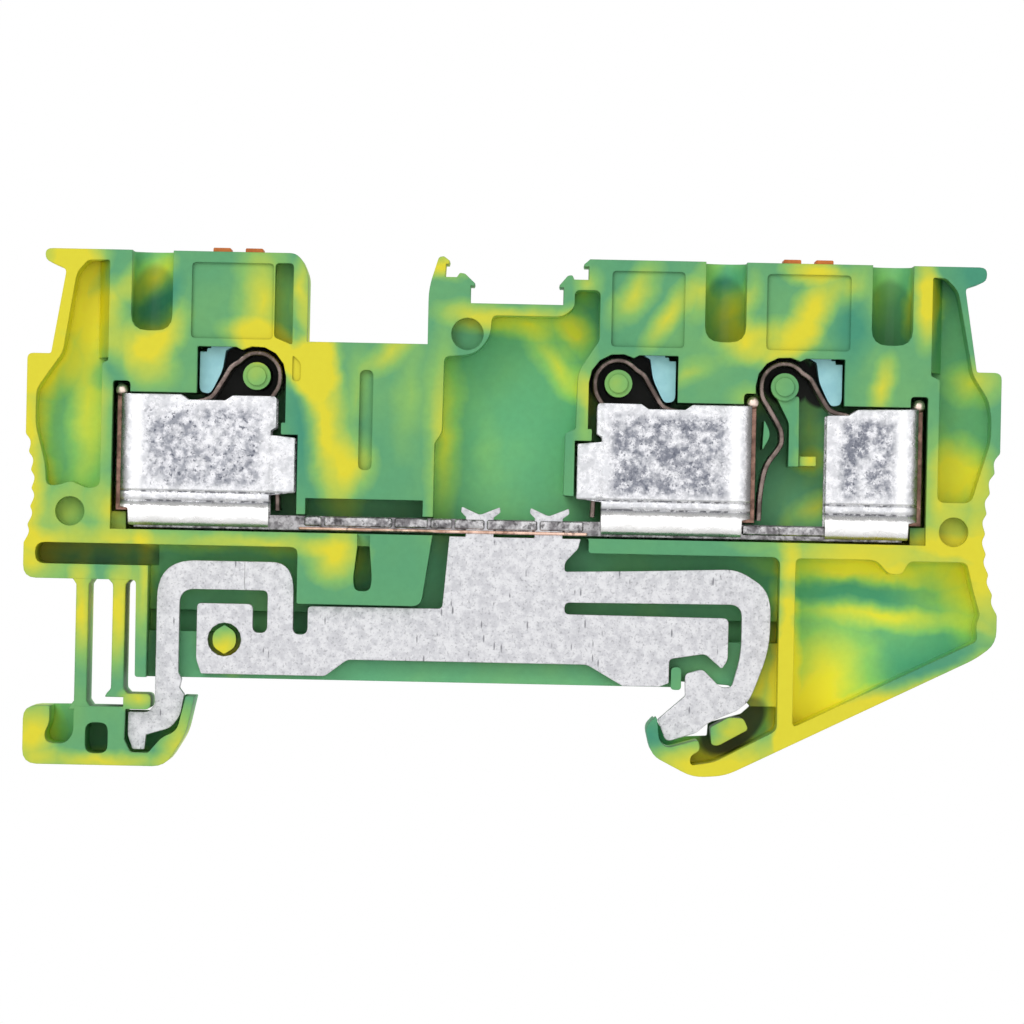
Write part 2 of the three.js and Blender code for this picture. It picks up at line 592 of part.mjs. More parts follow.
// The fixed sheet: body, column under the bar, staked ears, right spring arm and right hook.
function railFoot() {
  const bodyLow = 0.3;
  const raised = 1.45;
  const earAround = (x) => [
    [x - neckHalf, footTop], [x - neckHalf, barTop + fitGap], [x - 1.3, barTop + 0.5, 0.1],
    [x - 1.25, barTop + 0.85, 0.1], [x, barTop + 0.3, 0.2], [x + 1.35, barTop + 0.85, 0.1],
    [x + 1.4, barTop + 0.5, 0.1], [x + neckHalf, barTop + fitGap], [x + neckHalf, footTop],
  ];
  const shape = outline([
    [armJoin, armTop], [-9.65, armTop, 2.0], [-9.65, 3.1, 0.5], [-8.65, 3.1, 0.5], [-8.65, 5.05, 0.3],
    [0.5, 5.05, 0.3], [0.9, footTop],
    ...earCentres.flatMap(earAround),
    [9.85, footTop], [9.7, 9.35, 0.2], [8.8, 8.4, 0.3], [8.8, 7.75, 0.2],
    [14, 7.9], [20.6, 8.15, 0.9], [22.9, 6.7, 1.5], [22.9, 2.8, 1.5], [21.6, -0.8, 1.2],
    [20.7, -1.5], [19.3, -2.1], [18.75, -2.4, 0.2],
    [18.0, -3.05, 0.2], [15.95, -3.7, 0.4], [15.35, -2.2, 0.1], [railEdge - 0.3, -0.55, 0.1],
    [railEdge - 0.35, 0.95, 0.3], [18.35, 1.3, 0.3],
    [19.6, 0.05, 0.4], [20.35, 0.1, 0.3], [20.95, 2.3, 1.0], [20.95, 5.75, 0.9], [8.85, 5.65, 0.35],
    [8.85, 4.85, 0.35], [20.05, 4.8, 0.4], [20.05, 1.95, 0.3], [19.65, 1.35, 0.15], [18.5, 2.35, 0.3],
    [16.05, 1.95, 0.3], [16.05, bodyLow, 0.1], [15.4, 0.05], [12.9, 0.05], [10.45, raised, 0.3],
    [-5.9, raised, 0.3], [-7.4, bodyLow, 0.2],
    [-15.85, bodyLow, 0.1], [-16.2, 1.3, 0.2], [-16.2, 5.1, 0.3], [-12.4, 5.1, 0.4], [-12.4, 3.15, 0.5],
    [-11.4, 3.15, 0.5], [-11.4, armTop - armSide, 0.4], [armJoin, armTop - armSide],
  ]);
  shape.holes.push(disc(footHole.x, footHole.z, footHole.radius));
  return slab(shape, yPartFront, yFootBack, sheetSteps);
}

const armJoin = -13.0; // where the bending arm starts on the fixed sheet

addPart('rail_foot', railFoot(), tinnedSteel);

// The left arm bends when the latch is pulled; its lower end is the hook.
function railArm() {
  return slab(outline([
    [armJoin - fitGap, armTop], [armJoin - fitGap, armTop - armSide], [armInner, armTop - armSide, 1.0],
    [armInner, armSplit + fitGap], [armOuter, armSplit + fitGap], [armOuter, armTop, 2.6],
  ]), yPartFront, yFootBack, sheetSteps);
}

function railHook() {
  return slab(outline([
    [armOuter, armSplit], [armInner + 0.1, armSplit], [-17.3, -0.7, 0.1],
    [-16.95, -1.15, 0.1], [-17.2, -2.6, 0.4], [-17.85, -3.45, 0.4], [-19.5, -3.95], [-19.6, -4.95, 0.1],
    [-20.4, -4.95, 0.1], [-20.75, -4.0, 0.2], [-20.75, -2.4, 0.1], [-19.4, -2.4, 0.2],
    [-18.95, -1.9, 0.2],
  ]), yPartFront, yFootBack);
}

addPart('rail_foot_arm', railArm(), tinnedSteel);
addPart('rail_foot_hook', railHook(), tinnedSteel);

// ---- Current bar ----
function currentBar() {
  const x0 = cells[0].x - cellLength + 1.4;
  const x1 = cells[2].x + cellLength - 1.4;
  let bar = toSolid(box(x0, x1, yPartFront, yPartBack, barBottom, barTop));
  earCentres.forEach((x) => {
    const notchHalf = neckHalf + fitGap;
    const notch = box(x - notchHalf, x + notchHalf, yOpen, yFootBack + fitGap, barBottom - 1, barTop + 1);
    bar = bar.subtract(toSolid(notch));
  });
  return toGeometry(bar);
}

addPart('current_bar', currentBar(), tinnedCopper);

// ---- Clamp cells ----

// A cage: two shaped walls astride the bar, tied by a strap just above it.
function clampCage(cell) {
  const inner = cell.openSpring
    ? [[2.9, cageTop - 0.55, 0.1], [2.9, cageBottom, 0.1]]
    : [
      [-1.4, cageTop, 0.3], [-1.4, stubTop - 0.3], [-1.05, stubTop - 0.55], [-1.05, stubBottom - 0.05],
      [-2.7, stubBottom - 0.2, 0.1], [-2.7, barTop + 1.55, 0.1], [-1.0, barTop + 1.35],
      [-1.0, cageBottom, 0.1],
    ];
  const throat = cell.openSpring ? [[4.4, cageTop - 0.5], [5.0, cageTop - 0.1]]
    : [[5.1, cageTop], [4.6, cageTop - 0.35], [2.1, cageTop - 0.35], [1.6, cageTop - 0.02]];
  const shape = outline(inCell(cell, [
    ...inner, [cageOut - 0.6, cageBottom, 0.1], [cageOut - 0.55, cageBottom + 1.15],
    [cageOut, cageBottom + 1.25], [cageOut, cageTop],
    ...(cell.openSpring ? [...throat].reverse() : throat),
  ]));
  const strap = cellSpan(cell, cell.openSpring ? 3.2 : 0.2, cellLength - 2.2);
  const low = barTop + fitGap;
  return toGeometry(joined([
    slab(shape, yCageFront, yCageFront + cageSheet),
    slab(shape, yCageBack - cageSheet, yCageBack),
    box(...strap, yCageFront + cageSheet / 2, yCageBack - cageSheet / 2, low, low + cageSheet),
  ]));
}

// Contact plate: upright at the wire side, its foot on the end of the bar.
function contactPlate(cell) {
  const low = barTop + fitGap;
  const high = cageTop + 0.65;
  return slab(outline(inCell(cell, [
    [plateOut, low], [plateOut, high, 0.2], [plateIn, high, 0.2], [plateIn, low + cageSheet, 0.1],
    [cellLength - 2.0, low + cageSheet], [cellLength - 2.0, low],
  ])), yPartFront, yPartBack);
}

const onLoop = (degrees) => [
  loopRadius * Math.cos(THREE.MathUtils.degToRad(degrees)),
  loopHeight + loopRadius * Math.sin(THREE.MathUtils.degToRad(degrees)),
];
const springSplit = 42; // angle on the loop where the clamp leg starts, degrees

// Fixed part of a clamp spring: back leg on the bar, then the loop round the boss.
function clampSpring(cell) {
  const kink = -loopRadius + 1.45;
  const line = [
    [-loopRadius, barTop + 0.3], [-loopRadius + 0.1, barTop + 2.3], [-loopRadius + 0.45, barTop + 4.0],
    [kink - 0.1, stubBottom - 0.1], [kink, stubTop - 0.2], [kink - 0.15, stubTop + 0.4],
    [-loopRadius + 0.55, loopHeight - 1.45], [-loopRadius + 0.08, loopHeight - 0.6],
    onLoop(165), onLoop(135), onLoop(105), onLoop(75), onLoop(springSplit + 6),
  ];
  return slab(bentStrip(inCell(cell, line), springThickness, 34), yPartFront, yPartBack);
}

// Clamp leg: from the loop down under the button, then to the contact plate.
function clampLeg(cell) {
  const reach = plateIn - 0.25;
  const line = [
    onLoop(springSplit - 2), [loopRadius + 0.15, loopHeight + 0.6], [loopRadius + 0.55, loopHeight - 0.05],
    [loopRadius + 1.0, loopHeight - 0.8], [loopRadius + 1.4, loopHeight - 1.4],
    [loopRadius + 1.95, legUnderTip - 0.15], [loopRadius + 2.8, legUnderTip - 0.35],
    [loopRadius + 3.7, loopHeight - 2.55], [loopRadius + 5.0, loopHeight - 4.05], [reach, loopHeight - 5.75],
  ];
  return slab(bentStrip(inCell(cell, line), springThickness, 26), yPartFront, yPartBack);
}

// Blue push button: guided body in the shaft, tapered tip over the clamp leg.
function pushButton(cell) {
  const capSeat = top - 2.2 - cell.capDrop;
  const loopClear = chamberTop + buttonTravel;
  const restGap = 0.12; // between the tip and the clamp leg at rest
  const tipLow = legUnderTip + halfStrip + restGap;
  return slab(outline(inCell(cell, [
    [buttonIn, capSeat], [buttonIn, loopClear], [loopRadius - 0.1, loopClear],
    [loopRadius + 0.05, chamberTop + 0.05],
    [loopRadius + 0.55, chamberTop - 0.25, 0.1], [loopRadius + 0.75, loopHeight + 0.35, 0.4],
    [loopRadius + 1.35, tipLow + 0.35, 0.3], [loopRadius + 1.6, tipLow, 0.2],
    [tipOut, tipLow + 0.1, 0.5], [tipOut, chamberTop - 0.35], [tipOut - 0.45, chamberTop - 0.35],
    [tipOut - 0.5, chamberTop - 0.1], [buttonOut, chamberTop - 0.1], [buttonOut, capSeat],
  ])), yPartFront, yPartBack);
}

// Orange cap with a screwdriver slot between two raised lips.
function buttonCap(cell) {
  const seat = top - 2.2 - cell.capDrop + fitGap / 2;
  const high = top + 0.3 - cell.capDrop;
  const slotBottom = high - 1.1;
  const slotSide = 1.2;
  return slab(outline(inCell(cell, [
    [buttonIn, seat], [buttonIn, high, 0.1], [buttonIn + slotSide, high, 0.1],
    [buttonIn + slotSide, slotBottom],
    [buttonOut - slotSide, slotBottom], [buttonOut - slotSide, high, 0.1], [buttonOut, high, 0.1],
    [buttonOut, seat],
  ])), yPartFront + 0.1, yPartBack - 0.1);
}

cells.forEach((cell) => {
  addPart(`clamp_cage_${cell.name}`, clampCage(cell), tinnedCopper);
  addPart(`contact_plate_${cell.name}`, contactPlate(cell), bareCopper);
  addPart(`clamp_spring_${cell.name}`, clampSpring(cell), springSteel);
  addPart(`clamp_leg_${cell.name}`, clampLeg(cell), springSteel);
  addPart(`push_button_${cell.name}`, pushButton(cell), blueNylon);
  addPart(`button_cap_${cell.name}`, buttonCap(cell), orangeNylon);
});

export default block;
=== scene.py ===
import json
import math

import bmesh
import bpy
from mathutils import Matrix, Vector


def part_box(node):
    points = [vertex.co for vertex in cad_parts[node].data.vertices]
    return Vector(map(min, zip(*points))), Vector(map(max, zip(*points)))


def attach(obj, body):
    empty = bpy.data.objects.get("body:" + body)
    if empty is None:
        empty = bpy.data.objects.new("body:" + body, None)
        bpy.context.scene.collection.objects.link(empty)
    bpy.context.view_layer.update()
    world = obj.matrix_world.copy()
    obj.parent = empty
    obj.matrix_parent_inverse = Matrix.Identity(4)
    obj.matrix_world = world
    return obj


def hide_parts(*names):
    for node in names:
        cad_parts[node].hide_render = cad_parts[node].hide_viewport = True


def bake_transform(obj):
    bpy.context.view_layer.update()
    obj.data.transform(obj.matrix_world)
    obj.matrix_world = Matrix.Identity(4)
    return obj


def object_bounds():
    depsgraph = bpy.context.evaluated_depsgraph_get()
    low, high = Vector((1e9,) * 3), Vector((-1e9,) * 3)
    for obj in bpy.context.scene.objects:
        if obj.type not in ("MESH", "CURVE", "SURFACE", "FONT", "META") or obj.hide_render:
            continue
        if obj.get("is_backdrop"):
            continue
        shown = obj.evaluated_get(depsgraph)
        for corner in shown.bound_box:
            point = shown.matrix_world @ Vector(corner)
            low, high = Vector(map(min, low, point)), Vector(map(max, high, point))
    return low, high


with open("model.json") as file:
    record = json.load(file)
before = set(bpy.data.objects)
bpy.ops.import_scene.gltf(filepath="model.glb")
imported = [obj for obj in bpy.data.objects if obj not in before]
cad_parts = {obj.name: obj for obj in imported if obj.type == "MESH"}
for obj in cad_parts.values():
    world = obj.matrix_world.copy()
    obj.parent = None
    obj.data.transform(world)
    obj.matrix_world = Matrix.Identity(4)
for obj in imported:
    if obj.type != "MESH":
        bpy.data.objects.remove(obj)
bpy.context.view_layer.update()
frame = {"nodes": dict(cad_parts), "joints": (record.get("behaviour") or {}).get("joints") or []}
print("frame loaded:", len(frame["nodes"]), "nodes")

mm = 0.001
scene = bpy.context.scene
scene.view_settings.view_transform = "Standard"  # the default transform can't show this yellow


def boxMm(name):
    low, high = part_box(name)
    return low / mm, high / mm


def newNode(tree, kind, inputs=None, **settings):
    made = tree.nodes.new(kind)
    for key, value in settings.items():
        setattr(made, key, value)
    for key, value in (inputs or {}).items():
        socket = made.inputs[key]
        if isinstance(value, bpy.types.NodeSocket):
            tree.links.new(value, socket)
        else:
            socket.default_value = value
    return made


def calc(tree, how, a, b=0.0, c=0.0):
    return newNode(tree, "ShaderNodeMath", {0: a, 1: b, 2: c}, operation=how).outputs[0]


def between(tree, value, low, high, outLow=0.0, outHigh=1.0):
    made = newNode(tree, "ShaderNodeMapRange", {"Value": value, "From Min": low, "From Max": high,
                                                "To Min": outLow, "To Max": outHigh},
                   interpolation_type="SMOOTHSTEP", clamp=True)
    return made.outputs["Result"]


def mixColour(tree, share, first, second, how="MIX"):
    made = newNode(tree, "ShaderNodeMix", data_type="RGBA", blend_type=how)
    made.clamp_factor = True
    for index, value in ((0, share), (6, first), (7, second)):
        if isinstance(value, bpy.types.NodeSocket):
            tree.links.new(value, made.inputs[index])
        elif index == 0:
            made.inputs[index].default_value = value
        else:
            made.inputs[index].default_value = (*value, 1.0)
    return made.outputs[2]


def noise(tree, place, scale, detail=2.0, rough=0.5, seed=0.0, stretch=None):
    if stretch:
        place = newNode(tree, "ShaderNodeMapping", {"Vector": place, "Scale": stretch}).outputs[0]
    made = newNode(tree, "ShaderNodeTexNoise", {"Vector": place, "Scale": scale, "Detail": detail,
                                                "Roughness": rough, "W": seed}, noise_dimensions="4D")
    return made.outputs["Fac"]


def newMaterial(name):
    made = bpy.data.materials.new(name)
    made.use_nodes = True
    tree = made.node_tree
    tree.nodes.clear()
    shader = newNode(tree, "ShaderNodeBsdfPrincipled")
    newNode(tree, "ShaderNodeOutputMaterial", {"Surface": shader.outputs[0]})
    where = newNode(tree, "ShaderNodeTexCoord").outputs["Object"]
    place = newNode(tree, "ShaderNodeVectorMath", {0: where, 1: (1000, 1000, 1000)}, operation="MULTIPLY")
    return made, tree, shader, place.outputs[0]  # place is the spot on the piece in millimetres


# fine relief on top of softly rounded edges
def finishSkin(tree, shader, height, strength, depth, edge):
    rounded = newNode(tree, "ShaderNodeBevel", {"Radius": edge * mm}, samples=4)
    skin = newNode(tree, "ShaderNodeBump", {"Height": height, "Strength": strength, "Distance": depth * mm,
                                            "Normal": rounded.outputs[0]})
    tree.links.new(skin.outputs[0], shader.inputs["Normal"])


def fromSrgb(r, g, b):
    return tuple(((v / 255 + 0.055) / 1.055) ** 2.4 if v > 10 else v / 255 / 12.92 for v in (r, g, b))


# corner points (x, z, radius) to a smooth closed line
def roundedOutline(points, steps=10):
    line = []
    count = len(points)
    for index, point in enumerate(points):
        here = Vector(point[:2])
        radius = point[2] if len(point) > 2 else 0
        before = Vector(points[index - 1][:2]) - here
        after = Vector(points[(index + 1) % count][:2]) - here
        if radius == 0:
            line.append(here)
            continue
        enter = here + before.normalized() * min(radius, 0.45 * before.length)
        leave = here + after.normalized() * min(radius, 0.45 * after.length)
        for step in range(steps + 1):
            t = step / steps
            line.append(enter.lerp(here, t).lerp(here.lerp(leave, t), t))
    clean = [line[0]]
    for point in line[1:]:
        if (point - clean[-1]).length > 0.004:
            clean.append(point)
    return clean


# adds a slab of an outline to the bmesh, all in millimetres
def slabMesh(shape, line, yNear, yFar):
    front = [shape.verts.new((p.x, yNear, p.y)) for p in line]
    face = shape.faces.new(front)
    grown = bmesh.ops.extrude_face_region(shape, geom=[face])
    moved = [v for v in grown["geom"] if isinstance(v, bmesh.types.BMVert)]
    bmesh.ops.translate(shape, verts=moved, vec=(0, yFar - yNear, 0))
    return moved


# turns a bmesh in millimetres into a finished object in metres
def makePiece(name, shape, material, softEdge=0, softSteps=2):
    bmesh.ops.recalc_face_normals(shape, faces=shape.faces)
    mesh = bpy.data.meshes.new(name)
    shape.to_mesh(mesh)
    shape.free()
    if "custom_normal" in mesh.attributes:  # the CAD mesh's own normals no longer fit
        mesh.attributes.remove(mesh.attributes["custom_normal"])
    mesh.transform(Matrix.Scale(mm, 4))
    mesh.materials.append(material)
    mesh.shade_smooth()
    mesh.set_sharp_from_angle(angle=math.radians(30))
    piece = bpy.data.objects.new(name, mesh)
    scene.collection.objects.link(piece)
    if softEdge:
        bevel = piece.modifiers.new("softEdges", "BEVEL")
        bevel.width = softEdge * mm
        bevel.segments = softSteps
        bevel.limit_method = "ANGLE"
        bevel.angle_limit = math.radians(35)
        bevel.use_clamp_overlap = False
    smooth = piece.modifiers.new("shading", "WEIGHTED_NORMAL")
    smooth.keep_sharp = not softEdge
    return piece


def applyModifiers(piece):
    graph = bpy.context.evaluated_depsgraph_get()
    graph.update()
    done = bpy.data.meshes.new_from_object(piece.evaluated_get(graph))
    piece.modifiers.clear()
    piece.data = done


# a bmesh of a CAD node in millimetres, with its flat faces joined up or left in triangles
def cadShape(name, joinUp=True):
    shape = bmesh.new()
    shape.from_mesh(frame["nodes"][name].data)
    bmesh.ops.scale(shape, vec=(1000, 1000, 1000), verts=shape.verts)
    bmesh.ops.remove_doubles(shape, verts=shape.verts, dist=0.002)
    if joinUp:
        bmesh.ops.dissolve_limit(shape, angle_limit=math.radians(1.0), verts=shape.verts, edges=shape.edges)
    return shape


view = {"centre": (5.13, 11.75), "plane": -3.1, "away": 500.0, "width": 69.66, "roll": 1.2}

camera = bpy.data.objects.new("camera", bpy.data.cameras.new("camera"))
scene.collection.objects.link(camera)
scene.camera = camera
camera.data.sensor_width = 36
camera.data.lens = 36 * view["away"] / view["width"]
camera.data.clip_start = 0.05
camera.data.clip_end = 10
roll = math.radians(view["roll"])
camera.matrix_world = Matrix((
    (math.cos(roll), -math.sin(roll), 0, view["centre"][0] * mm),
    (0, 0, -1, (view["plane"] - view["away"]) * mm),
    (math.sin(roll), math.cos(roll), 0, view["centre"][1] * mm),
    (0, 0, 0, 1),
))
print("camera placed")


studio = {"sky": 0.42, "backdrop": 1.0, "floorDrop": 0.06, "floorRadius": 0.42, "aim": (0.005, 0, 0.012)}

world = bpy.data.worlds.new("studio")
scene.world = world
world.use_nodes = True
tree = world.node_tree
tree.nodes.clear()
soft = newNode(tree, "ShaderNodeBackground", {"Color": (1, 1, 1, 1), "Strength": studio["sky"]})
bright = newNode(tree, "ShaderNodeBackground", {"Color": (1, 1, 1, 1), "Strength": studio["backdrop"]})
seen = newNode(tree, "ShaderNodeLightPath").outputs["Is Camera Ray"]
both = newNode(tree, "ShaderNodeMixShader", {0: seen, 1: soft.outputs[0], 2: bright.outputs[0]})
newNode(tree, "ShaderNodeOutputWorld", {"Surface": both.outputs[0]})

softboxes = {
    "highLeft": {"at": (-0.30, -0.60, 0.42), "size": 0.45, "power": 1.6},
    "lowFront": {"at": (0.10, -0.60, -0.30), "size": 0.40, "power": 0.7},
    "front": {"at": (0.03, -0.90, 0.06), "size": 1.30, "power": 3.75},
    "behind": {"at": (0.25, 0.50, 0.45), "size": 0.45, "power": 2.2},
}
for name, box in softboxes.items():
    lamp = bpy.data.lights.new(name, "AREA")
    lamp.shape = "DISK"
    lamp.size = box["size"]
    lamp.energy = box["power"]
    holder = bpy.data.objects.new(name, lamp)
    scene.collection.objects.link(holder)
    holder.location = box["at"]
    towards = Vector(studio["aim"]) - Vector(box["at"])
    holder.rotation_euler = towards.to_track_quat("-Z", "Y").to_euler()
    holder.visible_camera = False

shape = bmesh.new()
bmesh.ops.create_circle(shape, cap_ends=True, segments=96, radius=studio["floorRadius"])
floorMesh = bpy.data.meshes.new("floor")
shape.to_mesh(floorMesh)
shape.free()
floor = bpy.data.objects.new("floor", floorMesh)
scene.collection.objects.link(floor)
floor.location.z = -studio["floorDrop"]
floorPaint, tree, shader, place = newMaterial("floorPaint")
grain = noise(tree, place, 0.05, 3)
tree.links.new(mixColour(tree, grain, (0.88, 0.88, 0.87), (0.92, 0.92, 0.92)), shader.inputs["Base Color"])
shader.inputs["Roughness"].default_value = 0.85
floorMesh.materials.append(floorPaint)
floor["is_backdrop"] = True
print("studio ready")


# the three clamp cells: spring loop centre, which way the wire side points
cells = {}
for joint in frame["joints"]:
    if joint["name"].startswith("bend_"):
        name = joint["name"][5:]
        cells[name] = {"x": joint["pos_m"][0] / mm, "z": joint["pos_m"][2] / mm,
                       "way": -1 if name == "left" else 1, "open": name == "right"}

plastic = {
    "teal": fromSrgb(66, 150, 118),
    "green": fromSrgb(94, 166, 114),
    "leaf": fromSrgb(134, 190, 100),
    "lime": fromSrgb(186, 206, 76),
    "yellow": fromSrgb(228, 218, 44),
    "deep": fromSrgb(128, 132, 84),  # painted shade: what the colour is multiplied by deep in a nook
    "nook": 1.0,
    "gloom": fromSrgb(30, 34, 26),  # painted shade round the spring loops and in the recesses
    "edge": 0.10,
    "floorLift": 1.45,  # pocket floors are painted paler, to make up for the light they lose
    "rough": 0.42,
    "ground": 0.23,  # share of yellow where no streak runs
    "wander": 1.7,  # how far the streaks' edges wander
    "stops": ((0.0, "teal"), (0.22, "green"), (0.44, "leaf"), (0.66, "lime"), (0.92, "yellow")),
    "streakLong": 1.7,  # a streak fades out over this many times its length and width
    "streakWide": 2.1,
    "streakPull": 0.66,
    # the hook's window and the long slot, with painted shade inside: x, z, half length, half height, tilt,
    # strength
    "recesses": ((20.6, -2.6, 3.0, 1.7, 40, 0.85), (-23.6, 8.2, 5.4, 1.3, 0, 0.45)),
    "entry": (7.2, 25.0, 2.0, 3.6, 0, 0.34),  # the same for a wire entry, with x out from the spring loop
    "loops": ((0.3, 0.6, 2.9, 2.6), (2.6, 0.3, 2.0, 2.4)),  # round a loop: out, up, half length, half height
    "openLoop": 0.75,  # those are smaller where the cell has no cage in front
}

# Streaks of the two masterbatches: x, z, half length, half width, tilt in degrees, strength.
# A streak above zero is yellow, one below zero is a deeper teal.
streaks = [
    # bosses in the spring loops
    (-12.45, 20.65, 1.2, 1.2, 0, 0.30), (12.2, 20.65, 1.2, 1.2, 0, 0.45), (23.55, 20.65, 1.2, 1.2, 0, 0.2),
    (-14.3, 1.9, 1.2, 0.9, 0, 1.2),
    # left lip, end wall and strip
    (-25.4, 28.5, 1.9, 1.2, 0, 1.5), (-25.9, 25.2, 3.2, 0.75, 78, 1.5), (-27.2, 21.3, 1.6, 1.3, 0, 1.5),
    (-28.0, 16.5, 4.6, 1.1, 90, 1.3), (-27.6, 11.0, 2.6, 1.3, 90, 0.9), (-27.5, 7.6, 2.6, 1.3, 0, 0.9),
    (-21.5, 9.3, 5.5, 0.6, 0, 0.8), (-21.9, 11.6, 1.5, 1.0, 90, 0.9),
    # left hollow end
    (-26.3, 17.2, 2.6, 1.4, 90, -0.3), (-24.0, 18.5, 6.0, 1.1, 86, 0.9), (-24.2, 25.0, 3.2, 0.8, 84, 0.9),
    (-25.0, 11.2, 1.0, 1.0, 0, 0.4),
    # left cell: rim, entry and panel
    (-22.3, 25.6, 1.3, 0.8, 60, 0.7), (-20.4, 22.1, 2.3, 1.1, -40, 0.95), (-22.7, 20.9, 1.0, 0.8, 90, -0.5),
    (-19.8, 27.4, 1.6, 0.8, 40, 1.0), (-18.7, 23.6, 1.6, 0.9, 55, 1.0), (-19.1, 25.6, 1.8, 0.7, 62, -0.7),
    (-12.2, 25.8, 3.7, 1.10, 90, 0.95), (-11.7, 22.9, 2.4, 0.8, -20, 1.3), (-9.7, 21.4, 1.3, 0.8, -60, 1.2),
    (-9.4, 26.6, 2.2, 0.5, 90, 0.9), (-8.3, 21.8, 1.8, 0.9, 80, 1.2), (-7.6, 17.3, 5.2, 0.9, -80, 1.3),
    (-9.3, 16.3, 3.4, 0.7, -82, -0.4),
    # middle panel and the block under the bar
    (-3.3, 22.5, 1.7, 0.6, 40, 0.8), (-5.6, 14.8, 1.6, 0.8, 90, 0.8), (-5.6, 19.3, 2.4, 0.5, 85, 0.35),
    (-6.7, 8.5, 1.6, 1.1, 0, 1.2), (-11.5, 9.2, 3.6, 0.5, 0, 0.8), (-1.9, 20.0, 3.4, 0.7, 86, 0.3),
    # marker holder and centre hollow
    (0.1, 28.3, 0.7, 1.0, 90, 1.2), (2.2, 25.2, 0.8, 1.6, 90, 0.9), (0.3, 17.0, 5.2, 0.7, 90, 0.8),
    (6.0, 24.7, 2.6, 0.6, 0, 0.9), (9.2, 24.3, 1.2, 0.7, 90, 1.0), (8.2, 21.7, 2.6, 0.7, -48, 0.9),
    (3.4, 16.0, 1.6, 0.6, 90, 0.15), (10.1, 19.0, 3.5, 0.5, 90, 0.5), (10.0, 27.2, 1.0, 0.6, 60, 0.6),
    # middle cell
    (13.2, 26.9, 2.0, 0.7, 55, 0.9), (15.4, 25.2, 2.2, 0.6, 55, 0.9), (18.0, 27.3, 1.8, 0.6, 70, 0.7),
    (19.9, 25.8, 1.9, 0.8, 60, 0.9), (20.6, 23.7, 1.3, 0.8, 40, 0.9), (21.2, 19.8, 1.3, 0.6, 0, 0.5),
    (16.9, 21.4, 1.6, 0.5, 30, 0.5), (19.3, 27.9, 1.2, 0.6, 0, -0.5),
    # right cell
    (25.4, 28.7, 1.5, 0.6, 0, 1.2), (25.3, 25.8, 2.1, 0.8, 62, 1.2), (23.2, 24.0, 1.9, 0.8, 0, 0.7),
    (22.9, 22.8, 1.8, 0.5, 10, 0.6), (27.8, 27.5, 1.4, 0.6, 65, 0.6), (29.8, 27.2, 1.8, 0.8, 80, 0.4),
    (33.0, 26.6, 2.3, 0.7, 90, 1.4), (30.2, 20.9, 1.5, 0.5, 75, 0.8), (28.0, 24.6, 1.9, 0.9, 90, -0.5),
    (25.4, 18.0, 2.6, 0.5, 90, 0.4), (25.3, 15.6, 0.9, 0.5, 0, 0.8), (26.0, 12.6, 1.6, 0.6, 30, 0.7),
    # right end
    (35.9, 15.2, 1.5, 1.3, 0, 1.1), (34.2, 13.0, 1.2, 2.6, 0, 1.0), (37.4, 9.0, 4.2, 1.6, 90, 1.4),
    (36.6, 21.2, 1.1, 1.4, 90, 0.8), (30.0, 10.0, 6.5, 0.6, 0, 1.0), (33.6, 27.0, 1.0, 0.7, 90, 0.4),
    (36.6, 28.2, 1.9, 1.2, 0, -0.4),
    # right foot's rims, its hollow and the hook's pocket
    (24.0, 2.5, 6.2, 0.6, 90, 1.4), (29.5, -1.6, 9.0, 0.8, 23, 1.5), (18.2, -5.2, 2.6, 1.0, 0, 1.4),
    (29.0, 8.4, 5.0, 0.7, -2, 1.3), (29.0, 6.6, 4.6, 0.6, -3, -0.5), (30.4, 5.2, 4.6, 0.55, -6, 1.0),
    (34.4, 6.4, 2.0, 0.8, 0, 0.4), (27.2, 0.9, 2.7, 2.3, 20, 1.0), (25.4, -2.0, 2.0, 1.2, 60, 1.0),
    (33.0, 1.9, 3.4, 1.0, 15, -0.35), (22.3, 0.0, 2.8, 0.8, 80, 1.0), (15.0, -3.4, 1.2, 0.9, 80, -0.4),
    (20.5, -3.0, 1.0, 0.8, 20, 0.9),
    # latch
    (-24.0, 4.6, 2.6, 0.6, 90, 1.2), (-21.5, 4.4, 2.8, 0.6, 90, 1.2), (-27.2, -4.0, 1.7, 1.0, 90, 1.1),
    (-22.5, -5.8, 3.6, 0.5, 0, 1.0), (-20.0, -1.7, 0.9, 0.6, 0, 0.9), (-17.4, -4.4, 1.8, 0.7, 70, 0.9),
    (-19.9, 6.6, 3.2, 0.5, 90, 0.8),
]
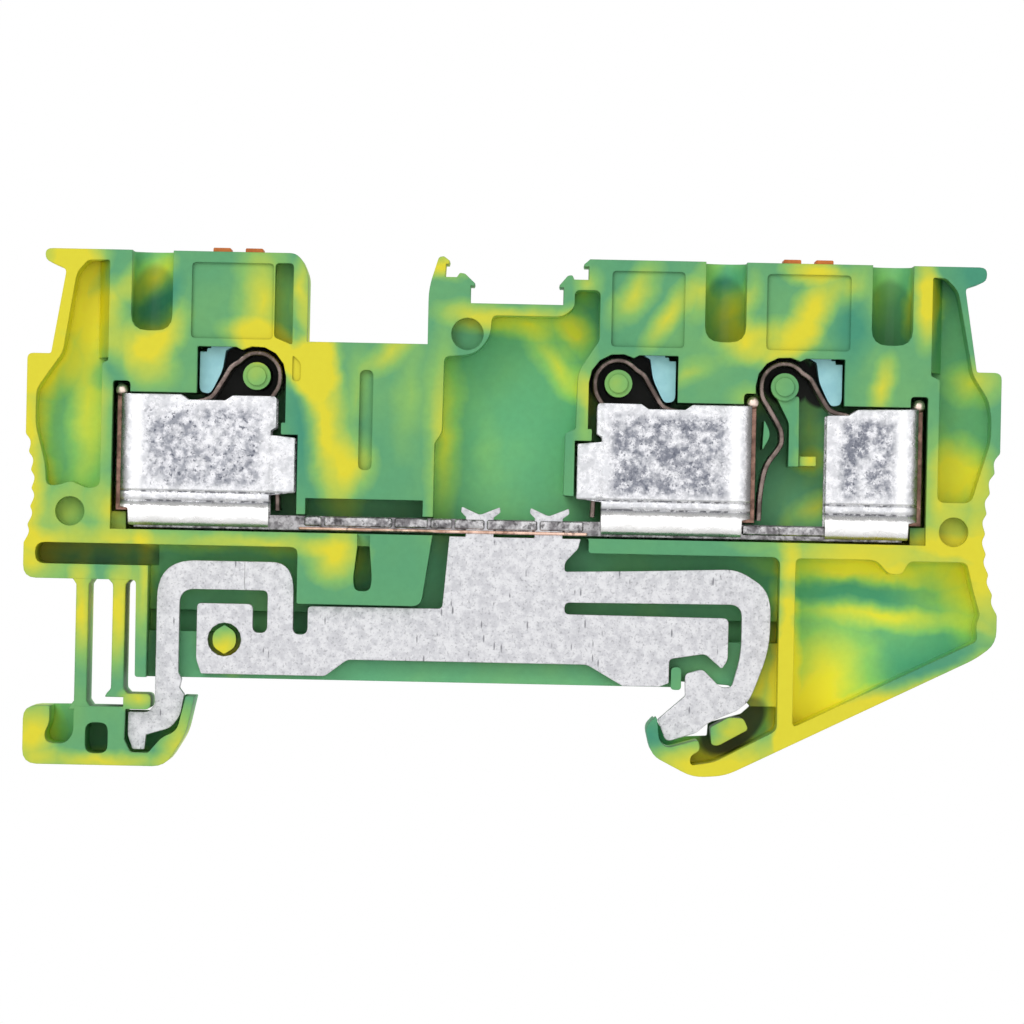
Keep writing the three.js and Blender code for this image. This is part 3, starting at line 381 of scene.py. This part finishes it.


# the marbling runs through the moulding; shade and paler floors are painted only inside its pockets
def plasticMaterial():
    made, tree, shader, place = newMaterial("marbledPolyamide")
    drift = newNode(tree, "ShaderNodeTexNoise", {"Vector": place, "Scale": 0.32, "Detail": 3.0,
                                                 "Roughness": 0.55}).outputs["Color"]
    push = newNode(tree, "ShaderNodeVectorMath", {0: drift, 1: (0.5, 0.5, 0.5)}, operation="SUBTRACT")
    push = newNode(tree, "ShaderNodeVectorMath", {0: push.outputs[0], "Scale": plastic["wander"]},
                   operation="SCALE")
    bent = newNode(tree, "ShaderNodeVectorMath", {0: place, 1: push.outputs[0]}, operation="ADD").outputs[0]
    share = calc(tree, "MULTIPLY_ADD", noise(tree, bent, 0.16, 3, 0.5, 3.1, (1, 0.4, 1)), 0.34,
                 plastic["ground"] - 0.17)
    for x, z, long, wide, tilt, strength in streaks:
        local = newNode(tree, "ShaderNodeMapping", {"Vector": bent, "Location": (x, 0, z),
                                                    "Rotation": (0, -math.radians(tilt), 0),
                                                    "Scale": (long * plastic["streakLong"], 1000,
                                                              wide * plastic["streakWide"])},
                        vector_type="TEXTURE").outputs[0]
        patch = newNode(tree, "ShaderNodeTexGradient", {"Vector": local}, gradient_type="SPHERICAL")
        share = calc(tree, "MULTIPLY_ADD", patch.outputs["Fac"], strength * plastic["streakPull"], share)
    ramp = newNode(tree, "ShaderNodeValToRGB", {"Fac": share})
    stops = plastic["stops"]
    ramp.color_ramp.elements[0].position = stops[0][0]
    ramp.color_ramp.elements[1].position = stops[-1][0]
    for at, _ in stops[1:-1]:
        ramp.color_ramp.elements.new(at)
    for element, (_, tone) in zip(ramp.color_ramp.elements, stops):
        element.color = (*plastic[tone], 1.0)
    fine = noise(tree, place, 2.2, 4, 0.6, 1.7)
    tone = mixColour(tree, 0.10, ramp.outputs["Color"], fine, "OVERLAY")
    depth = newNode(tree, "ShaderNodeSeparateXYZ", {"Vector": place}).outputs["Y"]
    back = boxMm("housing")[1].y
    inside = between(tree, depth, back - 0.55, back - 0.25, 1.0, 0.0)  # the closed side keeps its own tone
    lift = calc(tree, "MULTIPLY", between(tree, depth, -2.4, 2.0), inside)
    lift = calc(tree, "MULTIPLY_ADD", lift, plastic["floorLift"] - 1, 1.0)
    tone = newNode(tree, "ShaderNodeVectorMath", {0: tone, "Scale": lift}, operation="SCALE").outputs[0]
    # painted shade: the colour is darkened towards the nook tone where nearby surfaces close a spot in
    light = newNode(tree, "ShaderNodeAmbientOcclusion", {"Distance": plastic["nook"] * mm}, samples=4)
    nook = between(tree, light.outputs["AO"], 0.10, 0.60, 0.55, 0.0)
    tone = mixColour(tree, nook, tone, plastic["deep"], "MULTIPLY")
    patches = list(plastic["recesses"])
    for cell in cells.values():
        reach = plastic["openLoop"] if cell["open"] else 1.0
        patches.append((cell["x"] + cell["way"] * plastic["entry"][0], *plastic["entry"][1:]))
        for u, up, long, wide in plastic["loops"]:
            patches.append((cell["x"] + cell["way"] * u, cell["z"] + up, long * reach, wide * reach, 0, 1.0))
    # painted shade, strongest at each patch's centre
    gloom = 0.0
    for x, z, long, wide, tilt, strength in patches:
        local = newNode(tree, "ShaderNodeMapping", {"Vector": place, "Location": (x, 0, z),
                                                    "Rotation": (0, -math.radians(tilt), 0),
                                                    "Scale": (long, 1000, wide)},
                        vector_type="TEXTURE").outputs[0]
        patch = newNode(tree, "ShaderNodeTexGradient", {"Vector": local}, gradient_type="SPHERICAL")
        gloom = calc(tree, "MAXIMUM", between(tree, patch.outputs["Fac"], 0.02, 0.22, 0.0, strength), gloom)
    gloom = calc(tree, "MULTIPLY", gloom, calc(tree, "MULTIPLY", between(tree, depth, -1.6, 0.4), inside))
    tone = mixColour(tree, gloom, tone, plastic["gloom"])
    tree.links.new(tone, shader.inputs["Base Color"])
    rough = calc(tree, "MULTIPLY_ADD", noise(tree, place, 5.0, 3), 0.16, plastic["rough"] - 0.08)
    tree.links.new(rough, shader.inputs["Roughness"])
    finishSkin(tree, shader, noise(tree, place, 14.0, 3), 0.06, 0.02, plastic["edge"])
    shader.inputs["IOR"].default_value = 1.45
    shader.inputs["Specular IOR Level"].default_value = 0.35
    return made


marbled = plasticMaterial()
print("plastic mixed")


# soft-edged band of a value
def band(tree, value, low, high, soft):
    return calc(tree, "MULTIPLY", between(tree, value, low - soft, low + soft),
                between(tree, value, high - soft, high + soft, 1.0, 0.0))


# plated sheet: cloudy tone, fine flecks and a few short scratches; returns what a piece may add to
def metalMaterial(name, finish):
    made, tree, shader, place = newMaterial(name)
    flat = newNode(tree, "ShaderNodeMapping", {"Vector": place, "Scale": (1, 0.35, 1)}).outputs[0]
    cloud = between(tree, noise(tree, flat, finish["grain"], 5, 0.65), 0.38, 0.62)
    tone = mixColour(tree, cloud, finish["light"], finish["mid"])
    flecks = between(tree, noise(tree, flat, finish["grain"] * 2.6, 3, 0.6, 4.0), 0.54, 0.66)
    tone = mixColour(tree, calc(tree, "MULTIPLY", flecks, finish["flecks"]), tone, finish["dark"])
    if finish.get("scratches"):
        for turn, seed in ((0.9, 9.0), (-0.5, 14.0)):
            run = newNode(tree, "ShaderNodeMapping", {"Vector": flat, "Rotation": (0, turn, 0),
                                                      "Scale": (2.6, 1, 0.55)}).outputs[0]
            spot = newNode(tree, "ShaderNodeTexVoronoi", {"Vector": run, "Scale": 0.8}, feature="F1")
            mark = between(tree, spot.outputs["Distance"], 0.07, 0.16, 1.0, 0.0)
            keep = between(tree, noise(tree, flat, 0.55, 2, 0.5, seed), 0.50, 0.56)
            mark = calc(tree, "MULTIPLY", calc(tree, "MULTIPLY", mark, keep), finish["scratches"])
            tone = mixColour(tree, mark, tone, finish["dark"])
    rough = calc(tree, "MULTIPLY_ADD", cloud, 0.16, finish["rough"] - 0.08)
    tree.links.new(rough, shader.inputs["Roughness"])
    shader.inputs["Metallic"].default_value = finish["metal"]
    finishSkin(tree, shader, noise(tree, flat, finish["grain"] * 1.6, 4), finish["bump"], 0.05, 0.08)
    tree.links.new(tone, shader.inputs["Base Color"])
    return made, tree, shader, place, tone


finishes = {
    "footTin": {"light": (0.72, 0.72, 0.74), "mid": (0.60, 0.60, 0.63), "dark": (0.20, 0.20, 0.22),
                "grain": 2.2, "flecks": 0.40, "scratches": 0.85, "rough": 0.45, "metal": 0.85, "bump": 0.30},
    "cageTin": {"light": (0.74, 0.74, 0.77), "mid": (0.30, 0.31, 0.35), "dark": (0.06, 0.07, 0.10),
                "grain": 1.9, "flecks": 0.85, "rough": 0.30, "metal": 0.95, "bump": 0.6},
    "barTin": {"light": (0.42, 0.41, 0.42), "mid": (0.17, 0.16, 0.17), "dark": (0.03, 0.03, 0.03),
               "grain": 1.6, "flecks": 0.7, "rough": 0.30, "metal": 0.95, "bump": 0.5},
    "plateCopper": {"light": (0.30, 0.17, 0.13), "mid": (0.16, 0.09, 0.07), "dark": (0.05, 0.03, 0.02),
                    "grain": 1.2, "flecks": 0.4, "rough": 0.35, "metal": 0.9, "bump": 0.3},
    "landTin": {"light": (0.62, 0.61, 0.62), "mid": (0.16, 0.15, 0.16), "dark": (0.03, 0.03, 0.03),
                "grain": 1.1, "flecks": 0.7, "rough": 0.28, "metal": 0.95, "bump": 0.8},
    "brightCopper": {"light": (0.90, 0.62, 0.50), "mid": (0.52, 0.30, 0.22), "dark": (0.12, 0.06, 0.05),
                     "grain": 0.9, "flecks": 0.6, "rough": 0.35, "metal": 0.9, "bump": 0.4},
    "springSteel": {"light": (0.26, 0.20, 0.18), "mid": (0.12, 0.09, 0.08), "dark": (0.03, 0.02, 0.02),
                    "grain": 0.9, "flecks": 0.3, "rough": 0.32, "metal": 0.95, "bump": 0.3},
}
footTin = metalMaterial("footTin", finishes["footTin"])[0]
barTin = metalMaterial("barTin", finishes["barTin"])[0]
landTin = metalMaterial("landTin", finishes["landTin"])[0]
brightCopper = metalMaterial("brightCopper", finishes["brightCopper"])[0]
springSteel = metalMaterial("springSteel", finishes["springSteel"])[0]


# copper that is bright where it was sheared at the top
def copperMaterial(brightAbove):
    made, tree, shader, place, tone = metalMaterial("plateCopper", finishes["plateCopper"])
    height = newNode(tree, "ShaderNodeSeparateXYZ", {"Vector": place}).outputs["Z"]
    bright = between(tree, height, brightAbove - 0.1, brightAbove + 0.1)
    tree.links.new(mixColour(tree, bright, tone, (1.0, 0.80, 0.70)), shader.inputs["Base Color"])
    return made


copper = copperMaterial(boxMm("contact_plate_left")[1].z - 0.62)


def nylonMaterial(name, light, dark, rough):
    made, tree, shader, place = newMaterial(name)
    cloud = noise(tree, place, 1.1, 4, 0.55)
    tone = mixColour(tree, between(tree, cloud, 0.35, 0.65), light, dark)
    tree.links.new(tone, shader.inputs["Base Color"])
    tree.links.new(calc(tree, "MULTIPLY_ADD", cloud, 0.2, rough - 0.1), shader.inputs["Roughness"])
    finishSkin(tree, shader, noise(tree, place, 9.0, 3), 0.08, 0.02, 0.08)
    return made


blueNylon = nylonMaterial("blueNylon", fromSrgb(162, 216, 224), fromSrgb(150, 206, 216), 0.42)
orangeNylon = nylonMaterial("orangeNylon", fromSrgb(232, 128, 46), fromSrgb(206, 104, 32), 0.45)
print("metals and nylons mixed")


housing = makePiece("housingMoulding", cadShape("housing", False), marbled)
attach(housing, "block")
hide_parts("housing")

latchFoot = makePiece("latchFootMoulding", cadShape("latch_foot", False), marbled)
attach(latchFoot, "latch")
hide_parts("latch_foot")
print("mouldings made")


# latch legs: fillets at both ends
leg = {"rootFillet": 0.42, "into": 0.25, "steps": 30, "past": 0.15, "inset": 0.002, "softEdge": 0.09,
       "bendInset": 0.3}

for side in ("outer", "inner"):
    low, high = boxMm(f"latch_leg_{side}")
    top, bottom = high.z + leg["past"], low.z - leg["past"]
    centre, half = (low.x + high.x) / 2, (high.x - low.x) / 2
    profile = []
    for step in range(leg["steps"] + 1):
        z = top + leg["into"] + (bottom - leg["into"] - top - leg["into"]) * step / leg["steps"]
        flare = 0.0
        for end in (top, bottom):
            reach = abs(z - end) if bottom < z < top else 0.0
            if reach < leg["rootFillet"]:
                across = leg["rootFillet"] - reach
                flare = leg["rootFillet"] - math.sqrt(leg["rootFillet"] ** 2 - across ** 2)
        profile.append((z, half + flare))
    line = [Vector((centre - wide, z)) for z, wide in profile]
    line += [Vector((centre + wide, z)) for z, wide in reversed(profile)]
    shape = bmesh.new()
    slabMesh(shape, line, low.y + leg["inset"], high.y - leg["inset"])
    piece = makePiece(f"latchLeg_{side}", shape, marbled, leg["softEdge"])
    applyModifiers(piece)
    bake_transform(piece)
    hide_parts(f"latch_leg_{side}")
print("latch legs made")


armLow, armHigh = boxMm("rail_foot_arm")
hookLow = boxMm("rail_foot_hook")[0]
arm = {"join": armHigh.x + 0.15, "width": 1.55, "depth": 1.95, "cuts": 12, "firstCut": 0.2, "cutStep": 0.55,
       "bendFrom": (-0.0170, 0, 0.0072), "bendTo": (-0.0176, 0, 0.0002)}
inner = armLow.x + arm["width"]
foot = makePiece("railFootSheet", cadShape("rail_foot", False), footTin)
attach(foot, "block")
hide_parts("rail_foot")
line = roundedOutline([
    (arm["join"], armHigh.z), (arm["join"], armHigh.z - arm["depth"]), (inner, armHigh.z - arm["depth"], 1.0),
    (inner, 0.35), (-17.15, -0.1, 0.1), (-17.3, -0.7, 0.1), (-16.95, -1.15, 0.1), (-17.2, -2.6, 0.4),
    (-17.85, -3.45, 0.4), (-19.5, -3.95), (-19.6, hookLow.z, 0.1), (-20.4, hookLow.z, 0.1),
    (hookLow.x, -4.0, 0.2), (hookLow.x, -2.4, 0.1), (-19.4, -2.4, 0.2), (armLow.x, -1.9, 0.2),
    (armLow.x, armHigh.z, 2.6),
])
shape = bmesh.new()
slabMesh(shape, line, armLow.y, armHigh.y)
for level in range(arm["cuts"]):  # cuts across the upright stretch
    bmesh.ops.bisect_plane(shape, geom=shape.verts[:] + shape.edges[:] + shape.faces[:],
                           plane_co=(0, 0, arm["firstCut"] + level * arm["cutStep"]),
                           plane_no=(0, 0, 1))
piece = makePiece("railFootArm", shape, footTin)
applyModifiers(piece)
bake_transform(piece)
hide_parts("rail_foot_arm", "rail_foot_hook")
print("rail foot made")


bar = makePiece("currentBar", cadShape("current_bar", False), barTin)
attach(bar, "block")
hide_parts("current_bar")

# its pressed front edge: tinned lands with dark nicks between them, over a thin copper edge
barEdge = {"nicks": (-9.1, -7.75, -2.95, -0.5, 1.15, 3.35, 6.95, 10.1), "gap": 0.16, "proud": 0.14,
           "low": 0.30, "rightEnd": (20.75, 26.6), "landRound": 0.12, "copper": (-9.4, 10.3),
           "copperHigh": 0.22, "copperRound": 0.07, "inset": 0.02}
barLow, barHigh = boxMm("current_bar")


# a bar along x with rounded long edges
def roundedBar(shape, x0, x1, y0, y1, z0, z1, edge):
    section = []
    for y, z, start in ((y1 - edge, z1 - edge, 0), (y0 + edge, z1 - edge, 90), (y0 + edge, z0 + edge, 180),
                        (y1 - edge, z0 + edge, 270)):
        for turn in (0, 30, 60, 90):
            a = math.radians(start + turn)
            section.append((y + edge * math.cos(a), z + edge * math.sin(a)))
    rings = []
    for x, inset in ((x0, edge * 0.8), (x0 + edge * 0.8, 0), (x1 - edge * 0.8, 0), (x1, edge * 0.8)):
        middle = Vector(((y0 + y1) / 2, (z0 + z1) / 2))
        ring = []
        for y, z in section:
            point = Vector((y, z))
            point += (middle - point).normalized() * inset
            ring.append(shape.verts.new((x, point.x, point.y)))
        rings.append(ring)
    for one, two in zip(rings, rings[1:]):
        for k in range(len(section)):
            shape.faces.new((one[k], one[(k + 1) % len(section)], two[(k + 1) % len(section)], two[k]))
    shape.faces.new(rings[0][::-1])
    shape.faces.new(rings[-1])


lands = bmesh.new()
front = barLow.y - barEdge["proud"]
for x0, x1 in [*zip(barEdge["nicks"], barEdge["nicks"][1:]), barEdge["rightEnd"]]:
    roundedBar(lands, x0 + barEdge["gap"] / 2, x1 - barEdge["gap"] / 2, front, barLow.y + 0.3,
               barLow.z + barEdge["low"], barHigh.z - barEdge["inset"], barEdge["landRound"])
piece = makePiece("currentBarLands", lands, landTin)
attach(piece, "block")
strip = bmesh.new()
copperLow = barLow.z + barEdge["inset"]
roundedBar(strip, *barEdge["copper"], front - barEdge["inset"], barLow.y + 0.2, copperLow,
           copperLow + barEdge["copperHigh"], barEdge["copperRound"])
piece = makePiece("currentBarCopperEdge", strip, brightCopper)
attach(piece, "block")
print("current bar made")


spring = {"thickness": 0.35, "radius": 1.6, "edge": 0.10, "steps": 150,
          "draw": 0.97,  # the loop is drawn in where it turns into the leg, clear of a pressed button
          "hingeOut": 0.70, "hingeUp": 0.42}


# a smooth open line through the points, evenly stepped
def smoothLine(points, steps):
    dense = []
    pts = [2 * points[0] - points[1], *points, 2 * points[-1] - points[-2]]
    for i in range(1, len(pts) - 2):
        for k in range(24):
            t = k / 24
            a, b, c, d = pts[i - 1:i + 3]
            dense.append(0.5 * (2 * b + (c - a) * t + (2 * a - 5 * b + 4 * c - d) * t * t
                                + (3 * b - a - 3 * c + d) * t ** 3))
    dense.append(points[-1])
    reach = [0.0]
    for one, two in zip(dense, dense[1:]):
        reach.append(reach[-1] + (two - one).length)
    line, k = [], 0
    for step in range(steps + 1):
        want = reach[-1] * step / steps
        while k < len(reach) - 2 and reach[k + 1] < want:
            k += 1
        share = (want - reach[k]) / max(reach[k + 1] - reach[k], 1e-9)
        line.append(dense[k].lerp(dense[k + 1], share))
    return line


# a bent strip with softly rolled edges along a line in x and z
def stripMesh(line, thickness, yNear, yFar, edge):
    shape = bmesh.new()
    half = thickness / 2
    section = []
    corners = [(half - edge, yNear + edge, -90), (half - edge, yFar - edge, 0),
               (-half + edge, yFar - edge, 90), (-half + edge, yNear + edge, 180)]
    for n, y, start in corners:
        for turn in (0, 30, 60, 90):
            a = math.radians(start + turn)
            section.append((n + edge * math.cos(a), y + edge * math.sin(a)))
    rings = []
    for index, point in enumerate(line):
        ahead = line[min(index + 1, len(line) - 1)] - line[max(index - 1, 0)]
        side = Vector((-ahead.y, ahead.x)).normalized()
        rings.append([shape.verts.new((point.x + side.x * n, y, point.y + side.y * n)) for n, y in section])
    for one, two in zip(rings, rings[1:]):
        for k in range(len(section)):
            shape.faces.new((one[k], one[(k + 1) % len(section)], two[(k + 1) % len(section)], two[k]))
    shape.faces.new(rings[0][::-1])
    shape.faces.new(rings[-1])
    return shape


# the plate's sheared top is upset into a rounded bead
bead = {"radius": 0.42, "in": 0.27, "flat": 0.45, "proud": 0.03}


def plateHead(shape, cell, low, high):
    x = (low.x if cell["way"] < 0 else high.x) - cell["way"] * bead["in"]
    made = bmesh.ops.create_uvsphere(shape, u_segments=20, v_segments=12, radius=bead["radius"])
    for vert in made["verts"]:
        y = vert.co.y * bead["flat"]
        vert.co.x += x
        vert.co.y = (low.y - bead["proud"] if y < 0 else high.y - bead["radius"]) + y
        vert.co.z += high.z - bead["radius"]


for name, cell in cells.items():
    low, high = boxMm(f"clamp_leg_{name}")
    r, z = spring["radius"], cell["z"]

    # a point on the loop, at an angle from the wire side
    def loop(degrees, draw=1.0):
        turn = math.radians(degrees)
        return r * draw * math.cos(turn), z + r * draw * math.sin(turn)

    stub = barHigh.z + 5.5
    points = [
        (-r, barHigh.z + 0.3), (-r + 0.1, barHigh.z + 2.3), (-r + 0.45, barHigh.z + 4.0), (-0.25, stub - 0.1),
        (-0.15, stub + 0.6), (-0.3, stub + 1.2), (-r + 0.55, z - 1.45), (-r + 0.08, z - 0.6),
        loop(165), loop(135), loop(105), loop(75), loop(48, spring["draw"]), loop(40, spring["draw"]),
        (r + 0.15, z + 0.6), (r + 0.55, z - 0.05),
        (r + 1.0, z - 0.8), (r + 1.4, z - 1.4), (r + 1.95, z - 1.7), (r + 2.8, z - 1.9), (r + 3.7, z - 2.55),
        (r + 5.0, z - 4.05), (8.7, z - 5.75),
    ]
    line = smoothLine([Vector((cell["x"] + cell["way"] * u, v)) for u, v in points], spring["steps"])
    shape = stripMesh(line, spring["thickness"], low.y, high.y, spring["edge"])
    piece = makePiece(f"clampSpring_{name}", shape, springSteel)
    applyModifiers(piece)
    start = (cell["x"] * mm, 0, (z + r) * mm)
    end = ((cell["x"] + cell["way"] * spring["hingeOut"]) * mm, 0, (z + r + spring["hingeUp"]) * mm)
    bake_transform(piece)
    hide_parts(f"clamp_spring_{name}", f"clamp_leg_{name}")

    for part, material, slotName, body in (
            ("push_button", blueNylon, "blue_nylon", f"button_{name}"),
            ("button_cap", orangeNylon, "orange_nylon", f"button_{name}"),
            ("contact_plate", copper, "copper_plate", "block")):
        words = part.split("_")
        shape = cadShape(f"{part}_{name}")
        if part == "contact_plate":
            plateHead(shape, cell, *boxMm(f"{part}_{name}"))
        piece = makePiece(f"{words[0]}{words[1].capitalize()}_{name}", shape, material)
        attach(piece, body)
        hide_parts(f"{part}_{name}")
print("springs, buttons and plates made")


# clamp cages: folded tin sheet, worked from the CAD outline
cageShape = {"sheet": 0.4, "stepX": 0.22, "stepZ": 0.13, "grooves": (1.70, 2.32), "grooveDeep": 0.10,
             "grooveHalf": 0.13, "fold": 1.52, "foldBulge": 0.24, "bendFrom": 8.25, "bendBack": 0.55,
             "worn": {"left": 0.25, "middle": 0.75, "right": 0.85},
             # the groove tone is painted shade in the pressed grooves
             "frame": (0.84, 0.84, 0.86), "chip": (0.13, 0.14, 0.18), "groove": (0.06, 0.06, 0.08),
             # the fold tone is a painted highlight on the lower fold
             "foldHighlightTone": (0.97, 0.96, 0.95), "footTone": (0.34, 0.30, 0.27), "gleam": (0.95, 0.95, 0.96),
             # gleam is a painted highlight and the end tone painted shade, on the rounded outer end
             "bendShadeTone": (0.22, 0.20, 0.19), "tieHigh": 0.4, "tieTo": 7.4, "tieFrom": 0.2, "tieFromOpen": 3.2}


# tin with the press marks of one cage: dotted grooves with painted shade in them, a painted highlight along
# the lower fold, and a rounded outer end with a painted highlight and painted shade
def cageMaterial(name, cell, low, high):
    made, tree, shader, place, tone = metalMaterial(f"cageTin_{name}", finishes["cageTin"])
    spot = newNode(tree, "ShaderNodeSeparateXYZ", {"Vector": place}).outputs
    u = calc(tree, "MULTIPLY_ADD", spot["X"], cell["way"], -cell["x"] * cell["way"])
    z = spot["Z"]
    inner = 4.0 if cell["open"] else -0.3
    field = calc(tree, "MULTIPLY", band(tree, u, inner, 7.4, 0.45), band(tree, z, low + 2.8, high - 0.9, 0.4))
    torn = noise(tree, place, 0.9, 4, 0.6, 6.0)
    field = calc(tree, "MULTIPLY", field, between(tree, torn, 0.30, 0.55))
    shine = calc(tree, "SUBTRACT", 1.0, field)
    tone = mixColour(tree, calc(tree, "MULTIPLY", shine, 0.62), tone, cageShape["frame"])
    chips = between(tree, noise(tree, place, 1.5, 6, 0.75, 8.0), 0.45, 0.56)
    chips = calc(tree, "MULTIPLY", calc(tree, "MULTIPLY", chips, field), cageShape["worn"][name])
    tone = mixColour(tree, chips, tone, cageShape["chip"])
    # painted shade along the two pressed grooves, broken into dots
    dots = between(tree, noise(tree, place, 3.2, 2, 0.5, 2.0), 0.42, 0.56)
    for lift in cageShape["grooves"]:
        line = calc(tree, "MULTIPLY", band(tree, z, low + lift - 0.06, low + lift + 0.06, 0.05), dots)
        line = calc(tree, "MULTIPLY", line, 0.8)
        tone = mixColour(tree, line, tone, cageShape["groove"])
    # painted highlight along the lower fold, a near-white band
    foldHighlightMask = between(tree, z, low + 1.45, low + 1.60, 1.0, 0.0)
    tone = mixColour(tree, calc(tree, "MULTIPLY", foldHighlightMask, 0.85), tone, cageShape["foldHighlightTone"])
    foot = between(tree, z, low - 0.05, low + 0.45, 0.6, 0.0)
    tone = mixColour(tree, foot, tone, cageShape["footTone"])
    # painted highlight on the outer bend, then painted shade where the outer end turns away
    gleam = calc(tree, "MULTIPLY", band(tree, u, 7.75, 8.45, 0.2), 0.7)
    tone = mixColour(tree, gleam, tone, cageShape["gleam"])
    end = calc(tree, "MULTIPLY", between(tree, u, 8.5, 9.2), 0.8)
    tone = mixColour(tree, end, tone, cageShape["bendShadeTone"])
    tree.links.new(tone, shader.inputs["Base Color"])
    return made


# how far the outer wall stands out at a place on it
def cageLift(cell, low, x, z):
    u = (x - cell["x"]) * cell["way"]
    lift = 0.0
    inFold = (z - low - cageShape["fold"] / 2) / (cageShape["fold"] / 2)
    if abs(inFold) < 1:
        lift += cageShape["foldBulge"] * math.sqrt(1 - inFold * inFold)
    for groove in cageShape["grooves"]:
        lift -= cageShape["grooveDeep"] * max(0.0, 1 - abs(z - low - groove) / cageShape["grooveHalf"])
    bend = min(max(u - cageShape["bendFrom"], 0.0) / 1.1, 1.0)
    lift -= cageShape["bendBack"] * (1 - math.sqrt(1 - bend * bend * 0.98))
    if u < -1.15:
        lift -= 0.12
    return lift + 0.02 * math.sin(2.1 * u) * math.sin(1.7 * z)


for name, cell in cells.items():
    low, high = boxMm(f"clamp_cage_{name}")
    flat = cadShape(f"clamp_cage_{name}")
    front = min((f for f in flat.faces if f.normal.y < -0.9), key=lambda f: f.calc_center_median().y)
    line = [Vector((v.co.x, v.co.z)) for v in front.verts]
    flat.free()
    shape = bmesh.new()
    shape.faces.new([shape.verts.new((p.x, low.y, p.y)) for p in line])
    for start, stop, step, normal in ((low.x, high.x, cageShape["stepX"], (1, 0, 0)),
                                      (low.z, high.z, cageShape["stepZ"], (0, 0, 1))):
        for index in range(1, int((stop - start) / step) + 1):
            at = start + index * step
            bmesh.ops.bisect_plane(shape, geom=shape.verts[:] + shape.edges[:] + shape.faces[:],
                                   plane_co=(at, 0, at), plane_no=normal, dist=0.0005)
    for vert in shape.verts:
        vert.co.y -= cageLift(cell, low.z, vert.co.x, vert.co.z)
    grown = bmesh.ops.extrude_face_region(shape, geom=shape.faces[:])
    for vert in grown["geom"]:
        if isinstance(vert, bmesh.types.BMVert):
            vert.co.y += cageShape["sheet"]
    slabMesh(shape, line, high.y - cageShape["sheet"], high.y)
    tieFrom = cageShape["tieFromOpen" if cell["open"] else "tieFrom"]
    one, two = [cell["x"] + cell["way"] * u for u in (tieFrom, cageShape["tieTo"])]
    level = barHigh.z + 0.15
    over = level + cageShape["tieHigh"]
    slabMesh(shape, [Vector(corner) for corner in ((one, level), (two, level), (two, over), (one, over))],
             low.y + 0.3, high.y - 0.2)
    piece = makePiece(f"clampCage_{name}", shape, cageMaterial(name, cell, low.z, high.z))
    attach(piece, "block")
    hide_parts(f"clamp_cage_{name}")
print("clamp cages made")


low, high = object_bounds()
